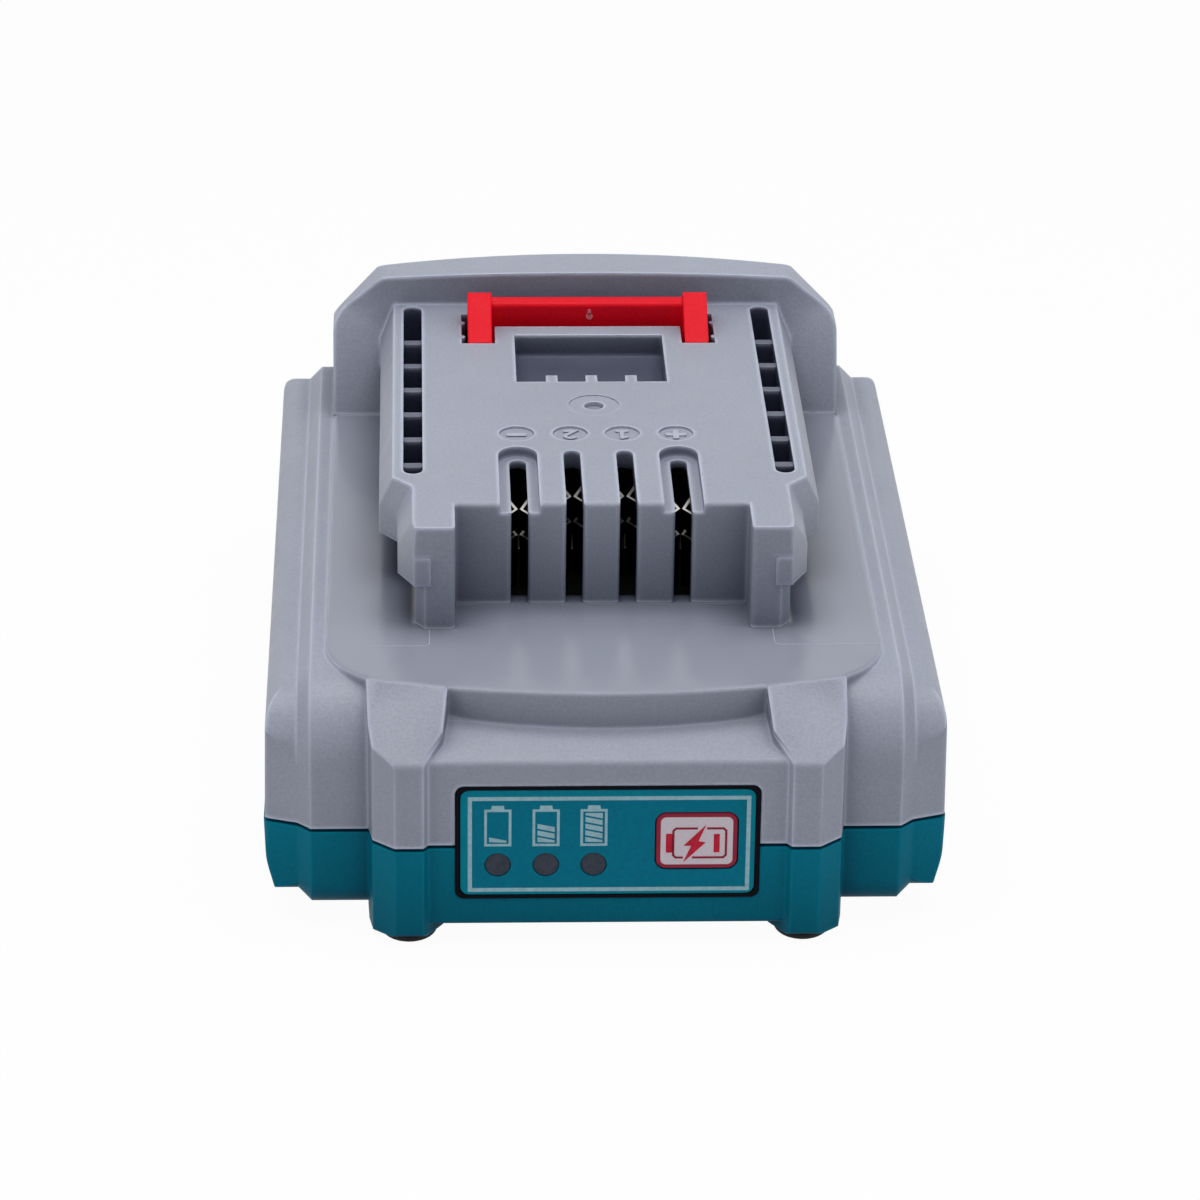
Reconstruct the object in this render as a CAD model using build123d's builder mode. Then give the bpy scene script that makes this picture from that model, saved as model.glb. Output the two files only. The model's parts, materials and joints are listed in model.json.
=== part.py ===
"""Battery pack of a power tool: five cells in a row, with rails, latch and charge display.

The pack stands on its feet. X runs across it, Y runs back from the front posts and Z is up.
A depth is the distance behind the face of the front posts.
"""

from build123d import *
import math
import os

# Cells
cell_count = 5
cell_diameter = 18.4
cell_length = 65.0
cell_gap = 0.35
cell_row_clearance = 0.7
cell_floor_clearance = 0.2
cell_edge_radius = 0.6
cell_button_diameter = 6.4
cell_button_height = 0.6
cell_crimp_width = 1.2
cell_crimp_depth = 0.35
cell_crimp_setback = 2.4

# Case shells
case_wall = 2.0
core_front = 4.8
core_bottom = 2.0
core_side_margin = 1.9
core_rim = 1.5
core_front_radius = 9.0
core_rear_radius = 6.0
core_bottom_radius = 3.5
parting_height = 12.5
bay_side_margin = 0.7
seam_height = 0.4
seam_depth = 0.5

# Side wings of the case
wing_inset = 1.5
wing_top_reach = 3.4
wing_upper_reach = 3.65
wing_lower_reach = 3.8
wing_belly_reach = 3.6
wing_belly_height = 7.2
wing_toe_reach = 2.6
wing_top_radius = 3.0
wing_belly_radius = 8.0
wing_toe_radius = 0.8
wing_sweep = 1.3
wing_corner_radius = 1.0
wing_bay_reach = 1.6

# Front posts
post_bottom = 1.2
post_inner = 17.4
post_outer = 26.75
post_length = 12.0
post_plan_shares = [(1.0, 1.0), (0.968, 0.392), (0.922, 0.178), (0.658, 0.0),
                    (0.318, 0.0), (0.086, 0.267), (0.011, 0.667), (0.0, 1.0)]
post_shoulder = 22.7
post_ramp_depth = 9.6
post_foot_depth = 8.0
post_foot_run = 0.8
post_edge_radius = 0.6

# Block that carries the charge display
ledge_half = 20.0
ledge_front = 0.8
ledge_bottom = 2.4
ledge_height = 22.7
ledge_length = 8.0
ledge_rise = 2.7
ledge_radius = 0.6

# Plateau that the tool's shoe slides over
plateau_rise = 0.5
plateau_half = 31.2
plateau_front = 5.5
plateau_bow = 5.25
plateau_corner_radius = 9.2
plateau_edge = 0.4
plateau_tail = 3.6

# Rail tower
tower_front = 21.6
tower_wall_setback = 6.7
tower_wall = 2.1
stem_height = 5.5
stem_half = 21.2
leg_inner = 16.7
leg_chamfer_width = 1.1
leg_chamfer_length = 1.5
leg_edge_radius = 0.5
deck_edge_radius = 0.5
band_height = 3.4
rail_neck_half = 21.4
rail_mid_half = 23.15
rail_half = 25.3
rail_mid_depth = 3.4
rail_step_depth = 11.6
rail_step_length = 2.8
crown_height = 3.67
crown_leg_half = 21.2
crown_neck_half = 21.4
crown_half = 23.7
crown_neck_depth = 1.9
crown_step_length = 2.5
deck_thickness = 2.2
tower_bay_half = 19.0
leg_pad_inner = 19.4
leg_pad_proud = 0.25

# Slots along the rails
rail_slot_inner = 20.27
rail_slot_outer = 22.5
rail_slot_setback = 14.9
rail_slot_end_margin = 0.75
rail_slot_depth = 5.4
rail_rib_count = 6
rail_rib_pitch = 7.32
rail_rib_first = 3.7
rail_rib_thickness = 1.3
rail_rib_drop = 0.6

# Slots over the terminals
terminal_inner_place = 3.05
terminal_outer_place = 9.3
terminal_slot_width = 1.95
terminal_slot_length = 14.6
terminal_slot_mouth = 0.4
terminal_recess_width = 4.5
terminal_recess_length = 15.78
terminal_recess_depth = 1.25
deck_mark_diameter = 4.1
deck_mark_setback = 19.6
deck_mark_depth = 0.3
gate_setback = 27.9
gate_ring_diameter = 6.0
gate_ring_depth = 0.12
gate_diameter = 2.3
gate_depth = 0.7

# Lock pocket in the deck
pocket_half = 9.0
pocket_length = 14.4
pocket_hood_margin = 9.9
pocket_rear_depth = 2.75
pocket_front_depth = 6.5
pocket_wall = 1.5
pocket_rib_width = 1.4
pocket_rib_length = 2.6
pocket_rib_drop = 0.3
pocket_rib_pitch = 4.75

# Hood and rear bulge
hood_wall = 2.2
hood_half = 31.2
hood_length = 16.1
hood_toe_run = 5.2
hood_crown_half = 25.2
hood_crown_drop = 0.65
hood_rise = 4.23
hood_shoulder_drop = 5.5
hood_shoulder_radius = 4.0
hood_crown_radius = 2.0
hood_top_length = 6.3
hood_eave_height = 36.5
hood_axis_depth = -7.6
bulge_length = 5.0
bulge_half = 27.5
bulge_flare_length = 9.6
bulge_corner_radius = 6.0
bulge_bottom_radius = 3.0
bulge_root = 12.0
bulge_rise = 18.0

# Latch
latch_travel = 4.5
latch_clearance = 0.3
latch_window_half = 15.42
latch_window_length = 4.0
latch_strip = 3.1
latch_slot_inner = 11.36
latch_slot_length = 9.3
latch_bump_radius = 0.45
latch_bump_setbacks = (2.1, 6.5)
latch_tab_inner = 11.75
latch_tab_outer = 14.65
latch_tab_front = 0.2
latch_tab_ramp = 7.2
latch_tab_rise = 3.63
latch_tab_root = 3.3
latch_bar_length = 1.9
latch_bar_rear_margin = 0.4
latch_bar_rise = 2.43
latch_bar_height = 3.0
latch_bar_radius = 0.6
latch_plate_underside = 33.0
latch_plate_thickness = 1.6
latch_plate_half = 16.5
latch_plate_chamfer = 1.0
latch_skirt_thickness = 1.9
latch_skirt_bottom = 15.7
latch_bay_side_clearance = 0.35
thumb_half = 15.0
thumb_bottom = 21.0
thumb_top = 30.0
thumb_reach = 1.4
thumb_round = 1.0
thumb_groove_count = 4
thumb_groove_depth = 0.45
thumb_groove_width = 0.8
thumb_groove_margin = 2.5
thumb_window_margin = 0.5
thumb_window_bottom = 16.2

# Latch springs
spring_place = 12.0
spring_seat_margin = 10.6
spring_mean_radius = 2.1
spring_wire = 0.5
spring_turns = 6
spring_bend = 0.7
gap_samples_per_turn = 60

# Charge display
panel_width = 33.7
panel_height = 13.95
panel_rise = 0.28
panel_corner_radius = 1.0
panel_clearance = 0.05
panel_proud = 0.1
panel_seat_depth = 1.8
panel_opening_half = 15.45
panel_opening_height = 10.8
overlay_width = 32.6
overlay_height = 13.0
overlay_thickness = 0.7
overlay_setback = 0.1
overlay_clearance = 0.1
light_diameter = 2.8
light_places = (-12.17, -6.84, -1.55)
light_drop = 2.8
light_clearance = 0.075
light_setback = 0.2
light_bar_height = 3.4
light_bar_thickness = 1.0
light_bar_margin = 0.3
button_width = 9.1
button_height = 7.0
button_place = 9.85
button_rise = 0.1
button_corner_radius = 1.3
button_clearance = 0.1
button_travel = 0.5
button_edge_radius = 0.25
button_flange = 0.68
button_flange_thickness = 0.6
plunger_diameter = 1.8
plunger_length = 1.2
plunger_fit = 0.1
switch_width = 6.0
switch_thickness = 1.1
switch_bore_floor = 0.1
running_gap = 0.3
indicator_board_thickness = 1.0
indicator_board_margin = 0.5
indicator_board_clearance = 0.2
led_width = 1.6
led_height = 0.8
led_thickness = 0.7

# Cell holders, links and cover
holder_width = 8.0
holder_plate = 2.0
holder_clearance = 0.15
holder_top_margin = 0.1
cell_fit = 0.05
cell_window = 7.0
link_thickness = 0.3
link_width = 8.0
link_tab_width = 4.0
link_tab_reach = 6.5
link_clearance = 0.3
end_link_shift = 4.8
cover_thickness = 1.0
cover_half = 30.0
cover_front_margin = 2.2
cover_rear_margin = 1.6
cup_radius = 3.7
cup_wall = 0.9
cup_height = 2.0

# Boards and what they carry
board_half = 28.0
board_thickness = 1.6
board_front = 12.0
board_rear_margin = 14.6
board_corner_radius = 2.0
board_screw_place = 26.5
board_screw_diameter = 2.5
board_screw_head_diameter = 4.4
board_screw_head_height = 1.0
board_screw_length = 6.0
board_screw_clearance = 0.05
screw_head_clearance = 0.1
block_half = 13.0
block_length = 17.3
block_clearance = 0.3
block_top_drop = 3.0
block_floor_height = 3.2
block_channel_width = 4.4
block_rear_wall = 1.0
terminal_leaf = 0.4
terminal_top_drop = 3.5
terminal_gap = 0.2
terminal_flare = 2.8
terminal_flare_length = 2.0
terminal_root = 2.8
terminal_spring_length = 3.9
terminal_root_length = 4.0
terminal_outer_waist = 6.0
terminal_inner_waist = 9.5
terminal_finger_height = 2.4
terminal_finger_split = 0.8
terminal_rear_margin = 0.4
terminal_pin = 1.2
terminal_base_thickness = 0.6
transistor_size = (6.6, 6.1, 2.3)
transistor_place = (13.0, 8.3)
transistor_tab_length = 3.4
transistor_tab_thickness = 0.9
chip_size = (7.0, 7.0, 1.2)
chip_setback = 8.3
capacitor_diameter = 6.3
capacitor_height = 5.4
capacitor_base_height = 1.4
capacitor_place = (14.5, 20.3)
shunt_width = 3.0
shunt_span = 9.0
shunt_rise = 2.2
shunt_thickness = 0.6
shunt_foot = 2.0
shunt_place = (-14.5, 20.3)

# Screws and feet
front_screw_place = (22.0, 3.6)
rear_screw_half = 21.0
rear_screw_margin = 3.6
screw_diameter = 3.0
screw_head_diameter = 5.5
screw_head_height = 2.0
screw_seat_height = 7.0
screw_top_height = 21.0
screw_pilot_clearance = 0.05
screw_pilot_run = 0.6
screw_clearance = 0.15
counterbore_diameter = 6.0
foot_diameter = 6.4
foot_flat_diameter = 2.6
foot_stem_diameter = 5.8
foot_head_clearance = 0.3

# One overrun for every cut
overrun = 1.0

# Heights that follow from the cells and the walls
cell_radius = cell_diameter / 2
cell_pitch = cell_diameter + cell_gap
bay_floor = core_bottom + case_wall
cell_axis_height = bay_floor + cell_floor_clearance + cell_radius
holder_top = cell_axis_height + cell_radius + holder_top_margin
cover_top = holder_top + cover_thickness
board_top = cover_top + board_thickness
bay_top = board_top + board_screw_head_height + screw_head_clearance
core_top = bay_top + case_wall
plateau_top = core_top + plateau_rise
stem_top = plateau_top + stem_height
band_top = stem_top + band_height
deck_top = band_top + crown_height
deck_underside = deck_top - deck_thickness
hood_top = deck_top + hood_rise
panel_middle = parting_height + panel_rise

# Depths that follow from the cells and the walls
bay_front = core_front + case_wall
first_cell_depth = bay_front + cell_row_clearance + cell_radius
last_cell_depth = first_cell_depth + cell_pitch * (cell_count - 1)
bay_rear = last_cell_depth + cell_radius + cell_row_clearance
core_rear = bay_rear + case_wall
hood_rear = core_rear + bulge_length
pack_length = hood_rear + thumb_reach
hood_front = core_rear - hood_length
tower_wall_front = tower_front + tower_wall_setback
tower_wall_rear = tower_wall_front + tower_wall
cell_depths = [first_cell_depth + cell_pitch * row for row in range(cell_count)]

# Half widths that follow from the cells
cell_half = cell_length / 2
core_half = cell_half + core_side_margin
bay_half = cell_half + bay_side_margin
wing_half = core_half + wing_lower_reach


def at_depth(depth):
    """Y of what lies this far behind the posts' face."""
    return depth - pack_length / 2


def level(height):
    """Horizontal plane at a height."""
    return Plane.XY.offset(height)


def upright(depth):
    """Plane across the pack at a depth, facing the front, with Z up."""
    return Plane(origin=(0, at_depth(depth), 0), x_dir=(1, 0, 0), z_dir=(0, -1, 0))


def mirrored(points):
    """Whole outline from its right half."""
    return points + [(-x, y) for x, y in reversed(points)]


def mirrored_radii(radii):
    """Corner radii of a whole outline from its right half."""
    return radii + radii[::-1]


def outline(points, radii=0):
    """Draws a closed outline with rounded corners in the open sketch."""
    with BuildLine() as path:
        if radii:
            FilletPolyline(*points, radius=radii, close=True)
        else:
            Polyline(*points, close=True)
    make_face(path.line.edges())


def plan_outline(points, radii=0):
    """Draws an outline given as x and depth."""
    outline([(x, at_depth(depth)) for x, depth in points], radii)


def side_outline(points, radii=0):
    """Draws an outline given as depth and height, in a side view."""
    outline([(at_depth(depth), height) for depth, height in points], radii)


def block(sides, depths, heights, mode=Mode.ADD):
    """Block between two sides, two depths and two heights."""
    left, right = sorted(sides)
    with BuildSketch(level(heights[0])) as footprint:
        plan_outline([(left, depths[0]), (right, depths[0]), (right, depths[1]), (left, depths[1])])
    extrude(footprint.sketch, amount=heights[1] - heights[0], mode=mode)


def core_outline(inset):
    """Draws the side view of the core block, this far inside its skin."""
    front, rear = core_front + inset, core_rear - inset
    bottom, top = core_bottom + inset, core_top - inset
    side_outline(
        [(front, bottom), (rear, bottom), (rear, top), (front, top)],
        [max(radius - inset, 0) for radius in
         (core_bottom_radius, core_bottom_radius, core_rear_radius, core_front_radius)],
    )


def wing_form(section, radii):
    """Slab that gives both side wings, from its front view."""
    front, rear = core_front + wing_inset, core_rear - wing_inset
    with BuildPart() as wings:
        with BuildSketch(Plane.XZ):
            outline(section, radii)
        extrude(amount=pack_length, both=True)
        with BuildSketch(Plane.YZ):
            core_outline(wing_inset)
        extrude(amount=wing_half + overrun, both=True, mode=Mode.INTERSECT)
        with BuildSketch(level(core_bottom)):
            plan_outline(
                mirrored([(core_half, front), (wing_half, front + wing_sweep),
                          (wing_half, rear - wing_sweep), (core_half, rear)]),
                mirrored_radii([0, wing_corner_radius, wing_corner_radius, 0]),
            )
        extrude(amount=core_top - core_bottom, mode=Mode.INTERSECT)
    return wings.part


def hood_form(inset):
    """Closed form of the hood and the rear bulge, this far inside its skin."""
    crown_edge_height = hood_top - hood_crown_drop
    shoulder_height = hood_top - hood_shoulder_drop
    roof_slope = (hood_top - hood_eave_height) / (hood_rear - hood_front - hood_top_length)
    eave_radius = hood_rear - hood_axis_depth
    with BuildPart() as hood:
        with BuildSketch(Plane.XZ) as front_view:
            with BuildLine():
                Polyline(*mirrored([(hood_crown_half, crown_edge_height), (hood_half, shoulder_height),
                                    (hood_half, core_bottom)]))
                ThreePointArc((-hood_crown_half, crown_edge_height), (0, hood_top),
                              (hood_crown_half, crown_edge_height))
            make_face()
            corners = front_view.vertices().sort_by(Axis.Y)
            fillet(corners[-2:], hood_crown_radius)
            corners = front_view.vertices().sort_by(Axis.Y)
            fillet(corners[2:4], hood_shoulder_radius)
            if inset:
                offset(amount=-inset)
        extrude(amount=pack_length, both=True)
        with BuildSketch(Plane.YZ):
            side_outline(
                [(hood_front - hood_toe_run, bulge_rise), (hood_front - hood_toe_run, plateau_top),
                 (hood_front, deck_top), (hood_front, hood_top + hood_rise),
                 (hood_rear, hood_top + hood_rise), (hood_rear, core_bottom),
                 (hood_rear - bulge_root, core_bottom), (hood_rear - bulge_root, bulge_rise)],
                [0, 0, 0, 0, 0, bulge_bottom_radius, 0, 0],
            )
            if inset:
                offset(amount=-inset, kind=Kind.INTERSECTION)
        extrude(amount=hood_half, both=True, mode=Mode.INTERSECT)
        with BuildSketch(level(core_bottom)):
            plan_outline(
                mirrored([(hood_half, hood_front - hood_length), (hood_half, hood_rear - bulge_flare_length),
                          (bulge_half, hood_rear)]),
                [0, 0, bulge_corner_radius, bulge_corner_radius, 0, 0],
            )
            if inset:
                offset(amount=-inset, kind=Kind.INTERSECTION)
        extrude(amount=hood_top, mode=Mode.INTERSECT)
        with BuildSketch(Plane.YZ):
            inner, outer = eave_radius - 2 * hood_length, eave_radius + bulge_root
            high, low = hood_top + hood_rise, hood_eave_height - roof_slope * bulge_root
            crest = eave_radius - (high - hood_eave_height) / roof_slope
            side_outline([(hood_axis_depth + radius, height) for radius, height in
                          [(inner, 0), (outer, 0), (outer, low), (crest, high), (inner, high)]])
            if inset:
                offset(amount=-inset, kind=Kind.INTERSECTION)
        revolve(axis=Axis((0, at_depth(hood_axis_depth), 0), (0, 0, 1)), mode=Mode.INTERSECT)
    return hood.part


def post_form():
    """Both front posts, with the pads that they stand on."""
    width = post_outer - post_inner
    with BuildPart() as posts:
        with BuildSketch(level(post_bottom)):
            plan_outline([(post_inner + width * across, post_length * along)
                          for across, along in post_plan_shares])
        extrude(amount=plateau_top - post_bottom)
        with BuildSketch(Plane.YZ):
            side_outline(
                [(0, post_bottom), (post_foot_depth, post_bottom),
                 (post_foot_depth + post_foot_run, core_bottom), (post_length, core_bottom),
                 (post_length, plateau_top), (post_ramp_depth, plateau_top), (0, post_shoulder)],
                [post_edge_radius, 0, 0, 0, 0, 0, post_edge_radius],
            )
        extrude(amount=core_half, mode=Mode.INTERSECT)
        mirror(about=Plane.YZ)
    return posts.part


def shared_form():
    """Closed form that both housings are cut from, without the wings."""
    with BuildPart() as form:
        with BuildSketch(Plane.YZ):
            core_outline(0)
        extrude(amount=core_half, both=True)
        chamfer(form.faces().filter_by(Axis.X).edges(), core_rim)
        add(post_blank)
        add(hood_blank)
        with BuildSketch(Plane.YZ):
            side_outline(
                [(ledge_front, ledge_bottom), (ledge_length, ledge_bottom),
                 (ledge_length, ledge_height + ledge_rise), (ledge_front, ledge_height)],
                [ledge_radius, 0, 0, ledge_radius],
            )
        extrude(amount=ledge_half, both=True)
        for side in (-1, 1):
            with BuildSketch(level(post_bottom)):
                with Locations((side * rear_screw_half, at_depth(hood_rear - rear_screw_margin))):
                    Circle(rear_screw_margin - overlay_clearance)
            extrude(amount=case_wall)
    return form.part


def bay_cuts():
    """Cuts the cell bay, the display's seat, the latch bay and the screw holes."""
    with BuildSketch(Plane.YZ) as bay:
        core_outline(case_wall)
    extrude(bay.sketch, amount=bay_half, both=True, mode=Mode.SUBTRACT)
    with BuildSketch(Plane.YZ) as wing_bay:
        core_outline(wing_inset + case_wall)
    extrude(wing_bay.sketch, amount=core_half + wing_bay_reach, both=True, mode=Mode.SUBTRACT)
    half = latch_plate_half + latch_bay_side_clearance
    block((-half, half), (bay_rear - overrun, hood_rear - hood_wall),
          (latch_skirt_bottom - latch_travel - latch_clearance, bay_top), Mode.SUBTRACT)
    seat_depth = ledge_front + panel_seat_depth
    with BuildSketch(upright(-overrun)) as seat:
        with Locations((0, panel_middle)):
            RectangleRounded(panel_width + 2 * panel_clearance, panel_height + 2 * panel_clearance,
                             panel_corner_radius)
    extrude(seat.sketch, amount=-(seat_depth + overrun), mode=Mode.SUBTRACT)
    with BuildSketch(upright(seat_depth)) as opening:
        with Locations((0, panel_middle)):
            Rectangle(2 * panel_opening_half, panel_opening_height)
    extrude(opening.sketch, amount=-(bay_front + overrun - seat_depth), mode=Mode.SUBTRACT)
    with BuildSketch(upright(indicator_board_front)) as shoulder:
        with Locations((0, panel_middle)):
            Rectangle(indicator_seat_width, indicator_seat_height)
    extrude(shoulder.sketch, amount=-(bay_front + overrun - indicator_board_front), mode=Mode.SUBTRACT)


def screw_places():
    """Places of the four long screws and of the feet under them."""
    x, depth = front_screw_place
    return [(side * x, at_depth(depth)) for side in (-1, 1)] + [
        (side * rear_screw_half, at_depth(hood_rear - rear_screw_margin)) for side in (-1, 1)]


def board_screw_places(side):
    """Places of the board's screws on one side, between cells whose links lie on the other side."""
    rows = [row for row in range(cell_count - 1) if link_side(row) != side]
    middles = [(cell_depths[row] + cell_depths[row + 1]) / 2 for row in rows]
    return [(side * board_screw_place, at_depth(middle)) for middle in middles]


def link_side(row):
    """End of the row, right or left, on which the link after a cell lies."""
    return 1 if row % 2 else -1


def finish(piece, name):
    """Labels a finished piece and writes it."""
    piece.label = name
    export_step(piece, f"parts/{name}.step")


os.makedirs("parts", exist_ok=True)

# Depths of the charge display
panel_seat = ledge_front + panel_seat_depth
panel_face = ledge_front - panel_proud
overlay_face = panel_face + overlay_setback
overlay_rear = overlay_face + overlay_thickness
button_face = panel_face + panel_proud
button_flange_front = panel_seat + running_gap
button_flange_rear = button_flange_front + button_flange_thickness
switch_front = button_flange_rear + button_travel + running_gap
indicator_board_front = switch_front + switch_thickness
indicator_seat_margin = indicator_board_margin + indicator_board_clearance
indicator_seat_width = 2 * (panel_opening_half + indicator_seat_margin)
indicator_seat_height = panel_opening_height + 2 * indicator_seat_margin

# Closed forms that the housings share
post_blank = post_form()
hood_blank = hood_form(0)
case_blank = shared_form()

# Upper housing
upper_wings = wing_form(
    mirrored([(core_half + wing_upper_reach, parting_height),
              (core_half + wing_top_reach, core_top - wing_inset)]),
    mirrored_radii([0, wing_top_radius]),
)
hood_bay = hood_form(hood_wall)
window_rear = hood_front - latch_strip
window_front = window_rear - latch_window_length
pocket_rear = hood_front - pocket_hood_margin
pocket_front = pocket_rear - pocket_length
crown_plan = [(leg_inner, tower_wall_front), (leg_inner, tower_front), (crown_leg_half, tower_front),
              (crown_neck_half, tower_front + crown_neck_depth),
              (crown_neck_half, tower_front + rail_step_depth),
              (crown_half, tower_front + rail_step_depth + crown_step_length),
              (crown_half, hood_front + overrun)]
band_plan = [(leg_inner, tower_wall_front), (leg_inner, tower_front), (rail_neck_half, tower_front),
             (rail_mid_half, tower_front + rail_mid_depth), (rail_mid_half, tower_front + rail_step_depth),
             (rail_half, tower_front + rail_step_depth + rail_step_length), (rail_half, hood_front + overrun)]
stem_plan = [(leg_inner, tower_wall_front), (leg_inner, tower_front),
             (stem_half - leg_chamfer_width, tower_front), (stem_half, tower_front + leg_chamfer_length),
             (stem_half, hood_front + overrun)]
slot_front = tower_front + rail_slot_setback
slot_rear = hood_front - rail_slot_end_margin
rail_slot_middle = (rail_slot_inner + rail_slot_outer) / 2
rail_slot_width = rail_slot_outer - rail_slot_inner
terminal_places = [-terminal_outer_place, -terminal_inner_place, terminal_inner_place, terminal_outer_place]


def leg_radii(plan):
    """Corner radii of a tower outline, round only on the inner front edge of either leg."""
    return mirrored_radii([0, leg_edge_radius] + [0] * (len(plan) - 2))


# Plateau with a rounded rim, whose front wall goes down to the ledge
with BuildPart() as plateau:
    plateau_corner = plateau_front + plateau_bow
    with BuildSketch(level(ledge_height)) as plateau_plan:
        with BuildLine():
            ThreePointArc((plateau_half, at_depth(plateau_corner)), (0, at_depth(plateau_front)),
                          (-plateau_half, at_depth(plateau_corner)))
            Polyline((-plateau_half, at_depth(plateau_corner)),
                     (-plateau_half, at_depth(core_rear - plateau_tail)),
                     (plateau_half, at_depth(core_rear - plateau_tail)),
                     (plateau_half, at_depth(plateau_corner)))
        make_face()
        fillet(plateau_plan.vertices().sort_by(Axis.Y)[:2], plateau_corner_radius)
    extrude(amount=plateau_top - ledge_height)
    fillet(plateau.faces().sort_by(Axis.Z)[-1].edges(), plateau_edge)

# Crown of the tower, which leans in from the rails to the deck, with a rounded edge between the legs
with BuildPart() as crown:
    with BuildSketch(level(band_top)):
        plan_outline(mirrored(band_plan), leg_radii(band_plan))
    with BuildSketch(level(deck_top)):
        plan_outline(mirrored(crown_plan), leg_radii(crown_plan))
    loft(ruled=True)
    across = crown.faces().sort_by(Axis.Z)[-1].edges().filter_by(Axis.X)
    fillet(across.group_by(Axis.Y)[1], deck_edge_radius)

with BuildPart() as upper_housing:
    add(case_blank)
    add(upper_wings)
    add(plateau)
    for plan, low, high in ((stem_plan, plateau_top, stem_top), (band_plan, stem_top, band_top)):
        with BuildSketch(level(low)):
            plan_outline(mirrored(plan), leg_radii(plan))
        extrude(amount=high - low)
    add(crown)
    split(bisect_by=level(parting_height), keep=Keep.TOP)
    bay_cuts()
    with BuildSketch(level(bay_top - overrun)):
        plan_outline(mirrored([(tower_bay_half, tower_wall_rear),
                               (tower_bay_half, hood_front + hood_wall)]))
    extrude(amount=deck_underside - bay_top + overrun, mode=Mode.SUBTRACT)
    hood_room = split(hood_bay, bisect_by=level(bay_top - overrun), keep=Keep.TOP, mode=Mode.PRIVATE)
    add(hood_room, mode=Mode.SUBTRACT)

    # Slots over the terminals, open to the front between rounded edges
    with BuildSketch(level(plateau_top)) as terminal_slots:
        with Locations(*[(place, at_depth(tower_wall_front)) for place in terminal_places]):
            SlotOverall(2 * terminal_slot_length, terminal_slot_width, rotation=90)
        wall_line = at_depth(tower_wall_front)
        with Locations((0, wall_line - terminal_slot_length / 2)):
            Rectangle(2 * leg_inner, terminal_slot_length)
        mouths = [corner for corner in terminal_slots.vertices()
                  if abs(corner.Y - wall_line) < panel_clearance and abs(corner.X) < leg_inner - overrun]
        fillet(mouths, terminal_slot_mouth)
        with Locations((0, wall_line - overrun - pack_length / 2)):
            Rectangle(pack_length, pack_length, mode=Mode.SUBTRACT)
    extrude(amount=deck_top + overrun - plateau_top, mode=Mode.SUBTRACT)
    with BuildSketch(level(deck_top)):
        with Locations(*[(side * terminal_outer_place, at_depth(tower_wall_front)) for side in (-1, 1)]):
            SlotOverall(2 * terminal_recess_length, terminal_recess_width, rotation=90)
    extrude(amount=-terminal_recess_depth, mode=Mode.SUBTRACT)

    # Round recesses of the marks and of the gate
    mark_line = at_depth(tower_wall_front + deck_mark_setback)
    with BuildSketch(level(deck_top)):
        with Locations(*[(place, mark_line) for place in terminal_places]):
            Circle(deck_mark_diameter / 2)
    extrude(amount=-deck_mark_depth, mode=Mode.SUBTRACT)
    for diameter, depth in ((gate_ring_diameter, gate_ring_depth), (gate_diameter, gate_depth)):
        with BuildSketch(level(deck_top)):
            with Locations((0, at_depth(tower_wall_front + gate_setback))):
                Circle(diameter / 2)
        extrude(amount=-depth, mode=Mode.SUBTRACT)

    # Ribbed slots along the rails
    slot_lines = [side * rail_slot_middle for side in (-1, 1)]
    with BuildSketch(level(deck_top)):
        with Locations(*[(line, at_depth((slot_front + slot_rear) / 2)) for line in slot_lines]):
            SlotOverall(slot_rear - slot_front, rail_slot_width, rotation=90)
    extrude(amount=-rail_slot_depth, mode=Mode.SUBTRACT)
    with BuildSketch(level(deck_top - rail_slot_depth)):
        rib_depths = [slot_front + rail_rib_first + rail_rib_pitch * rib for rib in range(rail_rib_count)]
        with Locations(*[(line, at_depth(depth)) for line in slot_lines for depth in rib_depths]):
            Rectangle(rail_slot_width, rail_rib_thickness)
    extrude(amount=rail_slot_depth - rail_rib_drop)

    # Window and tab slots of the latch, with small bumps on the slots' outer walls
    with BuildSketch(level(deck_underside - overrun)):
        plan_outline(mirrored([(latch_window_half, window_front), (latch_window_half, window_rear)]))
        for side in (-1, 1):
            inner, outer = side * latch_slot_inner, side * latch_window_half
            front = window_rear - latch_slot_length
            with Locations(((inner + outer) / 2, at_depth((front + window_rear) / 2))):
                Rectangle(abs(outer - inner), latch_slot_length)
            with Locations(*[(outer, at_depth(front + setback)) for setback in latch_bump_setbacks]):
                Circle(latch_bump_radius, mode=Mode.SUBTRACT)
    extrude(amount=deck_thickness + 2 * overrun, mode=Mode.SUBTRACT)
    with BuildSketch(level(stem_top)):
        pad_middle, pad_width = (leg_pad_inner + rail_neck_half) / 2, rail_neck_half - leg_pad_inner
        pad_line = at_depth(tower_front - leg_pad_proud / 2)
        with Locations((-pad_middle, pad_line), (pad_middle, pad_line)):
            Rectangle(pad_width, leg_pad_proud)
    extrude(amount=band_top - stem_top)

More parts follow.
